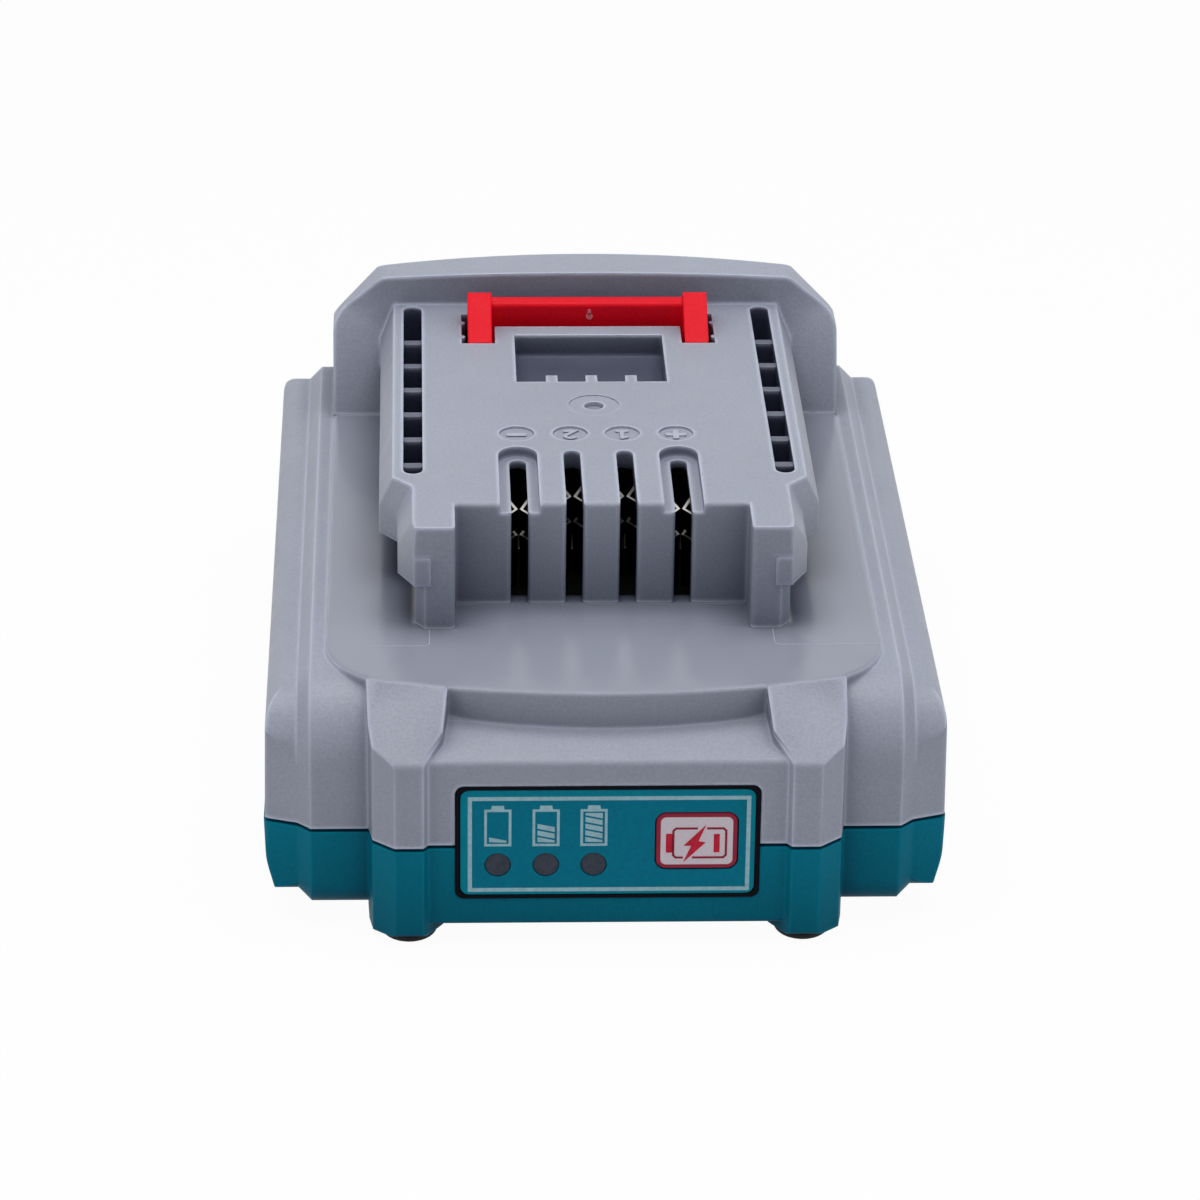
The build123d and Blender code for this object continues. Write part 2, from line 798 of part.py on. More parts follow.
    # Lock pocket with its sloping floor and three ribs
    pocket_outer = pocket_half + pocket_wall
    block((-pocket_outer, pocket_outer), (pocket_front - pocket_wall, pocket_rear + pocket_wall),
          (deck_top - pocket_front_depth - pocket_wall, deck_top))
    with BuildSketch(Plane.YZ):
        side_outline([(pocket_front, deck_top - pocket_front_depth),
                      (pocket_rear, deck_top - pocket_rear_depth),
                      (pocket_rear, deck_top + overrun), (pocket_front, deck_top + overrun)])
    extrude(amount=pocket_half, both=True, mode=Mode.SUBTRACT)
    with BuildSketch(level(deck_top - pocket_front_depth)):
        rib_middle = at_depth(pocket_front + pocket_rib_length / 2)
        with Locations(*[(step * pocket_rib_pitch, rib_middle) for step in (-1, 0, 1)]):
            Rectangle(pocket_rib_width, pocket_rib_length)
    extrude(amount=pocket_front_depth - pocket_rib_drop)

    # Opening for the thumb pad and pilots for the long screws
    block((-thumb_half - thumb_window_margin, thumb_half + thumb_window_margin),
          (hood_rear - hood_wall - overrun, hood_rear + overrun),
          (thumb_window_bottom, thumb_top + latch_clearance), Mode.SUBTRACT)
    with BuildSketch(level(parting_height)):
        with Locations(*screw_places()):
            Circle(screw_diameter / 2 + screw_pilot_clearance)
    extrude(amount=screw_top_height + screw_pilot_run - parting_height, mode=Mode.SUBTRACT)
finish(upper_housing.part, "upper_housing")

# Lower housing
lower_wings = wing_form(
    mirrored([(core_half + wing_toe_reach, core_bottom + wing_inset),
              (core_half + wing_belly_reach, wing_belly_height),
              (core_half + wing_lower_reach, parting_height)]),
    mirrored_radii([wing_toe_radius, wing_belly_radius, 0]),
)
with BuildPart() as lower_housing:
    add(case_blank)
    add(lower_wings)
    split(bisect_by=level(parting_height), keep=Keep.BOTTOM)
    rim = section(section_by=level(parting_height - seam_height / 2))
    with BuildSketch(level(parting_height - seam_height)):
        Rectangle(2 * wing_half + overrun, pack_length + overrun)
        core = offset(rim.moved(Location((0, 0, seam_height / 2 - parting_height))), amount=-seam_depth,
                      mode=Mode.PRIVATE)
        add(core, mode=Mode.SUBTRACT)
    extrude(amount=seam_height, mode=Mode.SUBTRACT)
    bay_cuts()
    with Locations(*[(x, y, screw_seat_height) for x, y in screw_places()]):
        Cylinder(screw_diameter / 2 + screw_clearance, parting_height - screw_seat_height,
                 align=(Align.CENTER, Align.CENTER, Align.MIN), mode=Mode.SUBTRACT)
    with Locations(*[(x, y, 0) for x, y in screw_places()]):
        Cylinder(counterbore_diameter / 2, screw_seat_height,
                 align=(Align.CENTER, Align.CENTER, Align.MIN), mode=Mode.SUBTRACT)
finish(lower_housing.part, "lower_housing")

# Rubber feet in the counterbores, with a domed base and a small flat that stands on the floor
with BuildPart() as rubber_feet:
    stem_top_height = screw_seat_height - screw_head_height - foot_head_clearance
    with BuildSketch(Plane.XZ):
        with BuildLine():
            Line((0, 0), (foot_flat_diameter / 2, 0))
            Spline((foot_flat_diameter / 2, 0), (foot_diameter / 2, post_bottom), tangents=((1, 0), (0, 1)))
            Polyline((foot_diameter / 2, post_bottom), (foot_stem_diameter / 2, post_bottom),
                     (foot_stem_diameter / 2, stem_top_height), (0, stem_top_height), (0, 0))
        make_face()
    foot = revolve(axis=Axis.Z, mode=Mode.PRIVATE)
    for x, y in screw_places():
        add(foot.moved(Location((x, y, 0))))
finish(rubber_feet.part, "rubber_feet")

# Screws that join the housings
with BuildPart() as housing_screws:
    for x, y in screw_places():
        with Locations((x, y, screw_seat_height)):
            Cylinder(screw_head_diameter / 2, screw_head_height,
                     align=(Align.CENTER, Align.CENTER, Align.MAX))
            Cylinder(screw_diameter / 2, screw_top_height - screw_seat_height,
                     align=(Align.CENTER, Align.CENTER, Align.MIN))
finish(housing_screws.part, "housing_screws")


def facing(side):
    """Plane on one end of the cell row, facing outwards along X, with Z up."""
    return Plane(origin=(side * cell_half, 0, 0), x_dir=(0, side, 0), z_dir=(side, 0, 0))


# Cells, which lie across the pack with their poles in turn to the left and to the right
for row, depth in enumerate(cell_depths):
    with BuildPart() as cell:
        with BuildSketch(Plane.XZ):
            shoulder = cell_half - cell_button_height
            groove = shoulder - cell_crimp_setback
            with BuildLine() as skin:
                FilletPolyline(
                    (-cell_half, 0), (-cell_half, cell_radius), (groove - cell_crimp_width, cell_radius),
                    (groove - cell_crimp_width, cell_radius - cell_crimp_depth),
                    (groove, cell_radius - cell_crimp_depth), (groove, cell_radius), (shoulder, cell_radius),
                    (shoulder, cell_button_diameter / 2), (cell_half, cell_button_diameter / 2),
                    (cell_half, 0),
                    radius=[0, cell_edge_radius, 0, 0, 0, 0, cell_edge_radius, 0, 0, 0], close=True)
            make_face()
        revolve(axis=Axis.X)
    turn = 0 if row % 2 == 0 else 180
    place = Location((0, at_depth(depth), cell_axis_height), (0, 0, turn))
    finish(cell.part.moved(place), f"cell_{row + 1}")


def link_outline(side, first, last, tab, margin):
    """Draws a link from cell to cell, with the tab that rises to the board."""
    tab_top = board_top + link_thickness + margin
    middle = (first + last) / 2
    with Locations((side * at_depth(middle), cell_axis_height)):
        SlotCenterToCenter(last - first, link_width + 2 * margin)
    with Locations((side * at_depth(tab), (cell_axis_height + tab_top) / 2)):
        Rectangle(link_tab_width + 2 * margin, tab_top - cell_axis_height)


link_runs = {}
for row in range(cell_count - 1):
    first, last = cell_depths[row], cell_depths[row + 1]
    link_runs[f"cell_link_{row + 1}"] = (link_side(row), first, last, (first + last) / 2)
link_runs["end_link_positive"] = (1, first_cell_depth, first_cell_depth + end_link_shift,
                                  first_cell_depth + end_link_shift)
end_side = link_side(cell_count)
link_runs["end_link_negative"] = (-end_side, last_cell_depth - end_link_shift, last_cell_depth,
                                  last_cell_depth - end_link_shift)

# Links, flat on the cells' ends, each with a tab bent in over the board
for name, (side, first, last, tab) in link_runs.items():
    with BuildPart() as link:
        with BuildSketch(facing(side)):
            link_outline(side, first, last, tab, 0)
        extrude(amount=link_thickness)
        block((side * (cell_half + link_thickness), side * (cell_half - link_tab_reach)),
              (tab - link_tab_width / 2, tab + link_tab_width / 2), (board_top, board_top + link_thickness))
    finish(link.part, name)

# Holders, bored for the cells and open over each crown, with an outer plate that frames the links
for side, name in ((-1, "cell_holder_left"), (1, "cell_holder_right")):
    with BuildPart() as holder:
        with BuildSketch(Plane.YZ.offset(side * (cell_half - holder_width))):
            core_outline(case_wall + holder_clearance)
        extrude(amount=side * holder_width)
        with BuildSketch(Plane.YZ.offset(side * cell_half)):
            core_outline(wing_inset + case_wall + holder_clearance)
        extrude(amount=side * holder_plate)
        split(bisect_by=level(holder_top), keep=Keep.BOTTOM)
        with BuildSketch(facing(side).offset(-holder_width - overrun)):
            with Locations(*[(side * at_depth(depth), cell_axis_height) for depth in cell_depths]):
                Circle(cell_radius + cell_fit)
        extrude(amount=holder_width + overrun, mode=Mode.SUBTRACT)
        for depth in cell_depths:
            inner, outer = side * (cell_half - holder_width - overrun), side * cell_half
            block((inner, outer), (depth - cell_window / 2, depth + cell_window / 2),
                  (bay_floor - overrun, holder_top + overrun), Mode.SUBTRACT)
        for link_place, first, last, tab in link_runs.values():
            if link_place == side:
                with BuildSketch(facing(side)):
                    link_outline(side, first, last, tab, link_clearance)
                extrude(amount=holder_plate + overrun, mode=Mode.SUBTRACT)
        with Locations(*[(x, y, board_top - board_screw_length) for x, y in board_screw_places(side)]):
            Cylinder(board_screw_diameter / 2 + board_screw_clearance, board_screw_length,
                     align=(Align.CENTER, Align.CENTER, Align.MIN), mode=Mode.SUBTRACT)
    finish(holder.part, name)

# Cover over the cells, which carries the board and the cups of the latch springs
spring_seat_depth = core_rear - spring_seat_margin
with BuildPart() as cell_cover:
    block((-cover_half, cover_half), (bay_front + cover_front_margin, bay_rear - cover_rear_margin),
          (holder_top, cover_top))
    with BuildSketch(level(cover_top)):
        cup_line = at_depth(spring_seat_depth)
        with Locations((-spring_place, cup_line), (spring_place, cup_line)):
            Circle(cup_radius)
            Circle(cup_radius - cup_wall, mode=Mode.SUBTRACT)
    extrude(amount=cup_height)
    for side in (-1, 1):
        with Locations(*[(x, y, holder_top - overrun) for x, y in board_screw_places(side)]):
            Cylinder(board_screw_diameter / 2 + board_screw_clearance, cover_thickness + 2 * overrun,
                     align=(Align.CENTER, Align.CENTER, Align.MIN), mode=Mode.SUBTRACT)
finish(cell_cover.part, "cell_cover")

# Main board
board_rear = core_rear - board_rear_margin
with BuildPart() as main_board:
    with BuildSketch(level(cover_top)) as board_plan:
        plan_outline(mirrored([(board_half, board_front), (board_half, board_rear)]), board_corner_radius)
        for side in (-1, 1):
            with Locations(*board_screw_places(side)):
                Circle(board_screw_diameter / 2 + board_screw_clearance, mode=Mode.SUBTRACT)
    extrude(amount=board_thickness)
finish(main_board.part, "main_board")

with BuildPart() as board_screws:
    for x, y in board_screw_places(-1) + board_screw_places(1):
        with Locations((x, y, board_top)):
            Cylinder(board_screw_head_diameter / 2, board_screw_head_height,
                     align=(Align.CENTER, Align.CENTER, Align.MIN))
            Cylinder(board_screw_diameter / 2, board_screw_length - board_screw_clearance,
                     align=(Align.CENTER, Align.CENTER, Align.MAX))
finish(board_screws.part, "board_screws")

# Terminal block, with one open channel for each terminal
block_front = tower_wall_rear + block_clearance
block_rear = block_front + block_length
block_top = deck_top - block_top_drop
channel_floor = board_top + block_floor_height
terminal_rear = block_rear - block_rear_wall - terminal_rear_margin
with BuildPart() as terminal_block:
    block((-block_half, block_half), (block_front, block_rear), (board_top, block_top))
    for place in terminal_places:
        block((place - block_channel_width / 2, place + block_channel_width / 2),
              (block_front - overrun, block_rear - block_rear_wall), (channel_floor, block_top + overrun),
              Mode.SUBTRACT)
        pin_hole_half = terminal_pin / 2 + screw_pilot_clearance
        block((place - pin_hole_half, place + pin_hole_half),
              (terminal_rear - terminal_root_length, terminal_rear),
              (board_top - overrun, channel_floor + overrun), Mode.SUBTRACT)
finish(terminal_block.part, "terminal_block")

# Terminals: two pairs of fingers that close to a waist and flare open to the front, on one base with a pin
terminal_top = deck_top - terminal_top_drop
for index, place in enumerate(terminal_places):
    waist = terminal_outer_waist if abs(place) == terminal_outer_place else terminal_inner_waist
    waist_depth = tower_wall_front + waist
    root_depth = terminal_rear - terminal_root_length
    near, wide, broad = terminal_gap / 2, terminal_flare / 2, terminal_root / 2
    with BuildPart() as terminal:
        face = [(wide, waist_depth - terminal_flare_length), (near, waist_depth),
                (broad, waist_depth + terminal_spring_length), (broad, terminal_rear)]
        skin = [(x + terminal_leaf, depth) for x, depth in reversed(face)]
        with BuildSketch(level(channel_floor)):
            for side in (-1, 1):
                plan_outline([(place + side * x, depth) for x, depth in face + skin])
        extrude(amount=terminal_top - channel_floor)
        split_top = terminal_top - terminal_finger_height
        block((place - block_channel_width / 2, place + block_channel_width / 2), (block_front, root_depth),
              (split_top - terminal_finger_split, split_top), Mode.SUBTRACT)
        block((place - broad - terminal_leaf, place + broad + terminal_leaf), (root_depth, terminal_rear),
              (channel_floor, channel_floor + terminal_base_thickness))
        block((place - terminal_pin / 2, place + terminal_pin / 2),
              (root_depth + screw_pilot_clearance, terminal_rear - screw_pilot_clearance),
              (board_top, channel_floor))
    finish(terminal.part, f"terminal_{index + 1}")

# What stands on the board
with BuildPart() as power_transistors:
    across, setback = transistor_place
    length, width, height = transistor_size
    body_front = block_rear + setback - width / 2
    for side in (-1, 1):
        sides = (side * across - length / 2, side * across + length / 2)
        block(sides, (body_front, body_front + width), (board_top, board_top + height))
        block(sides, (body_front - transistor_tab_length, body_front),
              (board_top, board_top + transistor_tab_thickness))
finish(power_transistors.part, "power_transistors")

with BuildPart() as control_chip:
    length, width, height = chip_size
    chip_front = block_rear + chip_setback - width / 2
    block((-length / 2, length / 2), (chip_front, chip_front + width), (board_top, board_top + height))
    chamfer(control_chip.faces().sort_by(Axis.Z)[-1].edges(), screw_head_clearance)
finish(control_chip.part, "control_chip")

with BuildPart() as buffer_capacitor:
    x, setback = capacitor_place
    middle = at_depth(block_rear + setback)
    with BuildSketch(level(board_top)):
        with Locations((x, middle)):
            RectangleRounded(capacitor_diameter, capacitor_diameter, capacitor_base_height / 2)
    extrude(amount=capacitor_base_height)
    with BuildSketch(level(board_top + capacitor_base_height)):
        with Locations((x, middle)):
            Circle(capacitor_diameter / 2)
    extrude(amount=capacitor_height - capacitor_base_height)
finish(buffer_capacitor.part, "buffer_capacitor")

with BuildPart() as shunt_resistor:
    x, setback = shunt_place
    half, inner = shunt_span / 2, shunt_span / 2 - shunt_foot
    with BuildSketch(Plane.YZ.offset(x - shunt_width / 2)):
        strip = [(-half, 0), (-inner, 0), (-inner, shunt_rise), (inner, shunt_rise), (inner, 0), (half, 0),
                 (half, shunt_thickness), (inner + shunt_thickness, shunt_thickness),
                 (inner + shunt_thickness, shunt_rise + shunt_thickness),
                 (-inner - shunt_thickness, shunt_rise + shunt_thickness),
                 (-inner - shunt_thickness, shunt_thickness), (-half, shunt_thickness)]
        side_outline([(block_rear + setback + along, board_top + up) for along, up in strip])
    extrude(amount=shunt_width)
finish(shunt_resistor.part, "shunt_resistor")

# Release latch: bar and ramped tabs in the deck, plate over the springs, skirt and thumb pad behind
tab_front = window_rear - latch_slot_length + latch_tab_front
tab_crest = tab_front + latch_tab_ramp
bar_rear = window_rear - latch_bar_rear_margin
bar_front = bar_rear - latch_bar_length
bar_top = deck_top + latch_bar_rise
skirt_rear = hood_rear - hood_wall - latch_clearance
plate_top = latch_plate_underside + latch_plate_thickness
with BuildPart() as release_latch:
    with BuildSketch(Plane.YZ):
        side_outline([(bar_front, bar_top - latch_bar_height), (bar_rear, bar_top - latch_bar_height),
                      (bar_rear, bar_top), (bar_front, bar_top)], [0, 0, 0, latch_bar_radius])
    extrude(amount=latch_tab_outer, both=True)
    block((-latch_tab_outer, latch_tab_outer), (bar_front, bar_rear),
          (latch_plate_underside, bar_top - latch_bar_height))
    block((-latch_plate_half, latch_plate_half), (bar_front, skirt_rear),
          (latch_plate_underside, plate_top))
    block((-latch_plate_half, latch_plate_half), (skirt_rear - latch_skirt_thickness, skirt_rear),
          (latch_skirt_bottom, latch_plate_underside))
    upper_rear_edge = release_latch.edges().filter_by(Axis.X).group_by(Axis.Y)[-1].sort_by(Axis.Z)[-1]
    chamfer(upper_rear_edge, latch_plate_chamfer)
    for side in (-1, 1):
        with BuildSketch(Plane.YZ.offset(side * latch_tab_inner)):
            side_outline([(tab_front, deck_top - latch_tab_root),
                          (bar_rear, deck_top - 2 * latch_tab_root), (bar_rear, bar_top),
                          (tab_crest, deck_top + latch_tab_rise), (tab_front, deck_top)])
        extrude(amount=side * (latch_tab_outer - latch_tab_inner))
    with BuildSketch(Plane.YZ):
        side_outline([(skirt_rear, thumb_bottom), (pack_length - thumb_reach / 2, thumb_bottom),
                      (pack_length, thumb_bottom + thumb_reach / 2), (pack_length, thumb_top),
                      (skirt_rear, thumb_top)],
                     [0, thumb_round / 2, thumb_round / 2, thumb_round, 0])
    extrude(amount=thumb_half, both=True)
    groove_span = thumb_top - thumb_bottom - 2 * thumb_groove_margin
    for groove in range(thumb_groove_count):
        height = thumb_bottom + thumb_groove_margin + groove_span * groove / (thumb_groove_count - 1)
        block((-thumb_half + thumb_groove_margin, thumb_half - thumb_groove_margin),
              (pack_length - thumb_groove_depth, pack_length + overrun),
              (height - thumb_groove_width / 2, height + thumb_groove_width / 2), Mode.SUBTRACT)
finish(release_latch.part, "release_latch")


def joined_arcs(start, start_way, end, end_way):
    """Draws the two arcs that lead from one point and direction to another."""
    chord, ways = end - start, start_way + end_way
    bend = 2 * (1 - start_way.dot(end_way))
    reach = (math.sqrt(chord.dot(ways) ** 2 + bend * chord.dot(chord)) - chord.dot(ways)) / bend
    near, far = start + start_way * reach, end - end_way * reach
    middle = (near + far) * 0.5
    TangentArc(start, middle, tangent=start_way)
    TangentArc(middle, end, tangent=far - near)


# Latch springs, each one wire of even turns with a short upright end on either seat
spring_rest = latch_plate_underside - cover_top
coil_height = spring_rest - 2 * (spring_wire + spring_bend)
coil_pitch = coil_height / spring_turns
steps_per_turn = 2
rise_way = coil_pitch / (2 * math.pi)


def coil_point(step):
    """Point and direction of the wire's centre after so many half turns."""
    angle = 2 * math.pi * step / steps_per_turn
    x, y = spring_mean_radius * math.cos(angle), spring_mean_radius * math.sin(angle)
    z = cover_top + spring_wire + spring_bend + coil_pitch * step / steps_per_turn
    way = Vector(-y, x, rise_way).normalized()
    return Vector(x, y, z), way


def least_gap(path, wire):
    """Smallest gap between stretches of a bent wire that don't follow each other."""
    count = gap_samples_per_turn * spring_turns
    points = [path @ (index / count) for index in range(count + 1)]
    apart = math.ceil(math.pi * wire * count / path.length)
    return min((points[i] - points[j]).length for i in range(count + 1) for j in range(i - apart)) - wire


for side, name in ((-1, "latch_spring_left"), (1, "latch_spring_right")):
    centre = Vector(side * spring_place, at_depth(spring_seat_depth), 0)
    first_point, first_way = coil_point(0)
    last_point, last_way = coil_point(spring_turns * steps_per_turn)
    foot_top = centre + Vector(first_point.X, -spring_bend, cover_top + spring_wire)
    head_bottom = centre + Vector(last_point.X, spring_bend, latch_plate_underside - spring_wire)
    up = Vector(0, 0, 1)
    with BuildPart() as spring:
        with BuildLine() as wire_path:
            Line(foot_top - up * spring_wire, foot_top)
            joined_arcs(foot_top, up, centre + first_point, first_way)
            for step in range(spring_turns * steps_per_turn):
                start, start_way = coil_point(step)
                end, end_way = coil_point(step + 1)
                joined_arcs(centre + start, start_way, centre + end, end_way)
            joined_arcs(centre + last_point, last_way, head_bottom, up)
            Line(head_bottom, head_bottom + up * spring_wire)
        with BuildSketch(Plane(origin=foot_top - up * spring_wire, z_dir=up)):
            Circle(spring_wire / 2)
        sweep()
    finish(spring.part, name)
    route = wire_path.wires()[0]
    print(name, "gap to itself", round(least_gap(route, spring_wire), 2), "wire", round(route.length, 1),
          "volume share", round(spring.part.volume / (route.length * math.pi * spring_wire ** 2 / 4), 3))

# Charge display: black frame, printed overlay, light guide, check button and the board behind them
light_height = panel_middle - light_drop
button_middle = (button_place, panel_middle + button_rise)
button_opening = (button_width + 2 * button_clearance, button_height + 2 * button_clearance)


def display_holes(guide_radius):
    """Draws the holes for the lights and the button as cuts in the open sketch."""
    with Locations(*[(place, light_height) for place in light_places]):
        Circle(guide_radius, mode=Mode.SUBTRACT)
    with Locations(button_middle):
        RectangleRounded(*button_opening, button_corner_radius, mode=Mode.SUBTRACT)


with BuildPart() as panel_frame:
    with BuildSketch(upright(panel_face)) as frame_view:
        with Locations((0, panel_middle)):
            RectangleRounded(panel_width, panel_height, panel_corner_radius)
        display_holes(light_diameter / 2 + light_clearance)
    extrude(amount=panel_face - panel_seat)
    with BuildSketch(upright(panel_face)) as frame_recess:
        with Locations((0, panel_middle)):
            RectangleRounded(overlay_width + 2 * overlay_clearance, overlay_height + 2 * overlay_clearance,
                             panel_corner_radius)
    extrude(amount=panel_face - overlay_rear, mode=Mode.SUBTRACT)
finish(panel_frame.part, "panel_frame")

with BuildPart() as panel_overlay:
    with BuildSketch(upright(overlay_face)):
        with Locations((0, panel_middle)):
            RectangleRounded(overlay_width, overlay_height, panel_corner_radius)
        display_holes(light_diameter / 2 + light_clearance)
    extrude(amount=-overlay_thickness)
finish(panel_overlay.part, "panel_overlay")

with BuildPart() as light_guide:
    with BuildSketch(upright(overlay_face + light_setback / 2)):
        with Locations(*[(place, light_height) for place in light_places]):
            Circle(light_diameter / 2)
    extrude(amount=overlay_face + light_setback / 2 - panel_seat)
    bar_reach = light_diameter / 2 + light_bar_margin
    block((min(light_places) - bar_reach, max(light_places) + bar_reach),
          (panel_seat, panel_seat + light_bar_thickness),
          (light_height - light_bar_height / 2, light_height + light_bar_height / 2))
finish(light_guide.part, "light_guide")

with BuildPart() as check_button:
    with BuildSketch(upright(button_face)):
        with Locations(button_middle):
            RectangleRounded(button_width, button_height, button_corner_radius - button_clearance)
    extrude(amount=button_face - button_flange_front)
    fillet(check_button.faces().sort_by(Axis.Y)[0].edges(), button_edge_radius)
    with BuildSketch(upright(button_flange_front)):
        with Locations(button_middle):
            RectangleRounded(button_width + 2 * button_flange, button_height + 2 * button_flange,
                             button_corner_radius)
    extrude(amount=-button_flange_thickness)
finish(check_button.part, "check_button")

with BuildPart() as switch_plunger:
    with BuildSketch(upright(button_flange_rear)):
        with Locations(button_middle):
            Circle(plunger_diameter / 2)
    extrude(amount=-plunger_length)
finish(switch_plunger.part, "switch_plunger")

with BuildPart() as tact_switch:
    with BuildSketch(upright(switch_front)):
        with Locations(button_middle):
            Rectangle(switch_width, switch_width)
            Circle(plunger_diameter / 2 + plunger_fit, mode=Mode.SUBTRACT)
    extrude(amount=switch_bore_floor - switch_thickness)
    with BuildSketch(upright(indicator_board_front - switch_bore_floor)):
        with Locations(button_middle):
            Rectangle(switch_width, switch_width)
    extrude(amount=-switch_bore_floor)
finish(tact_switch.part, "tact_switch")

with BuildPart() as indicator_board:
    with BuildSketch(upright(indicator_board_front)):
        with Locations((0, panel_middle)):
            Rectangle(indicator_seat_width - 2 * indicator_board_clearance,
                      indicator_seat_height - 2 * indicator_board_clearance)
    extrude(amount=-indicator_board_thickness)
finish(indicator_board.part, "indicator_board")

with BuildPart() as indicator_leds:
    with BuildSketch(upright(indicator_board_front)):
        with Locations(*[(place, light_height) for place in light_places]):
            Rectangle(led_width, led_height)
    extrude(amount=led_thickness)
finish(indicator_leds.part, "indicator_leds")
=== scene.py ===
"""Looks of a power tool battery pack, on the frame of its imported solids.

Lengths are in metres, and in millimetres where a value stands without mm in an outline or a point.
X runs across the pack, Y runs back from the display and Z is up.
"""

import bmesh
import bpy
import json
import math
from mathutils import Matrix, Vector


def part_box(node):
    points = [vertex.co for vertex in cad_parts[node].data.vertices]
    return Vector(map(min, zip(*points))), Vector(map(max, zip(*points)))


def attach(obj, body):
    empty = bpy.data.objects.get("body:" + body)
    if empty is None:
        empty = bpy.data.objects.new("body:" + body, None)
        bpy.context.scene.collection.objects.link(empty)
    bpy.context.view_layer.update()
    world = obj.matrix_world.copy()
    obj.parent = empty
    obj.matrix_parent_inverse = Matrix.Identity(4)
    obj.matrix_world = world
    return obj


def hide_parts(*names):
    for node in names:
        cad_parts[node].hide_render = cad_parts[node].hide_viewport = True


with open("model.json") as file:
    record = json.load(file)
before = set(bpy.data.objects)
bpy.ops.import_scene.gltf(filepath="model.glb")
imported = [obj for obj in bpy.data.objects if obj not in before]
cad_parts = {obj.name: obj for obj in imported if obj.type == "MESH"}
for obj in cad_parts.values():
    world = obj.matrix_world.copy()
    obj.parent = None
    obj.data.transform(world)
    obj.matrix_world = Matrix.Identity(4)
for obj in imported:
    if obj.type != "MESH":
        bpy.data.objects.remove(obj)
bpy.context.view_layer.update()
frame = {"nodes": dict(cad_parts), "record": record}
nodes = frame["nodes"]

mm = 0.001

# Levels and places of the solids, in millimetres

half_length = 55
plateau_level = 28.9
deck_level = 41.47
mark_recess_depth = 0.3
mark_recess_place = -7.1
latch_bar_front = 27.1
cell_sleeve_half = 32.2

# Photograph's camera, in metres, degrees and millimetres of lens

camera_place = (-0.020848, -0.536130, 0.273922)
camera_yaw = 2.331985
camera_pitch = 25.632838
camera_roll = 0.768425
camera_lens = 148.614

# Agreement of a rounded normal with the flat one, from where an edge begins to where it is full. Over the
# first band edges grow paler, from wear and painted highlight; over the second the very edge gets a painted
# highlight

edge_band = (0.995, 0.86)
crest_band = (0.9, 0.78)

# Thickness of printed film, widths of the fine lines and welding distance of points, in millimetres

film = 0.03
button_line_width = 0.26
witness_line_width = 0.12
weld_distance = 0.0005


def linked(name, data):
    """Object of some data, in the scene."""
    made = bpy.data.objects.new(name, data)
    bpy.context.scene.collection.objects.link(made)
    return made


# Camera

def place_camera():
    """Camera at the photograph's place, a long lens from the front, above and a little to the left."""
    yaw, pitch, roll = (math.radians(angle) for angle in (camera_yaw, camera_pitch, camera_roll))
    forward = Vector((math.sin(yaw) * math.cos(pitch), math.cos(yaw) * math.cos(pitch), -math.sin(pitch)))
    level = Vector((math.cos(yaw), -math.sin(yaw), 0))
    rise = level.cross(forward)
    right = math.cos(roll) * level + math.sin(roll) * rise
    up = math.cos(roll) * rise - math.sin(roll) * level
    data = bpy.data.cameras.new("camera")
    data.sensor_width = 36
    data.lens = camera_lens
    data.clip_start = 0.01
    data.clip_end = 20
    camera = linked("camera", data)
    turn = Matrix((right, up, -forward)).transposed().to_4x4()
    camera.matrix_world = Matrix.Translation(camera_place) @ turn
    bpy.context.scene.camera = camera


# Shader helpers

def linear(red, green, blue):
    """Linear colour of 0 to 255 display values."""
    def channel(value):
        value = value / 255
        return value / 12.92 if value <= 0.04045 else ((value + 0.055) / 1.055) ** 2.4
    return (channel(red), channel(green), channel(blue), 1.0)


def shade(colour, factor):
    """The colour made darker or lighter."""
    return tuple(min(1.0, part * factor) for part in colour[:3]) + (1.0,)


class Tree:
    """A node tree under construction, with short ways to add and join its nodes."""

    def __init__(self, tree):
        self.tree = tree
        self.tree.nodes.clear()

    def join(self, source, target):
        self.tree.links.new(source, target)

    def add(self, kind, inputs=None, **settings):
        """A node with its settings, its values and its links."""
        node = self.tree.nodes.new(kind)
        for name, value in settings.items():
            setattr(node, name, value)
        for name, value in (inputs or {}).items():
            if isinstance(value, bpy.types.NodeSocket):
                self.join(value, node.inputs[name])
            else:
                node.inputs[name].default_value = value
        return node

    def math(self, operation, first, second=0.0):
        return self.add("ShaderNodeMath", {0: first, 1: second}, operation=operation).outputs[0]

    def seen(self):
        """1 for what the camera sees, itself, in a reflection or through clear matter, and else 0."""
        path = self.add("ShaderNodeLightPath").outputs
        indirect = self.math("MAXIMUM", path["Is Glossy Ray"], path["Is Transmission Ray"])
        return self.math("MAXIMUM", path["Is Camera Ray"], indirect)


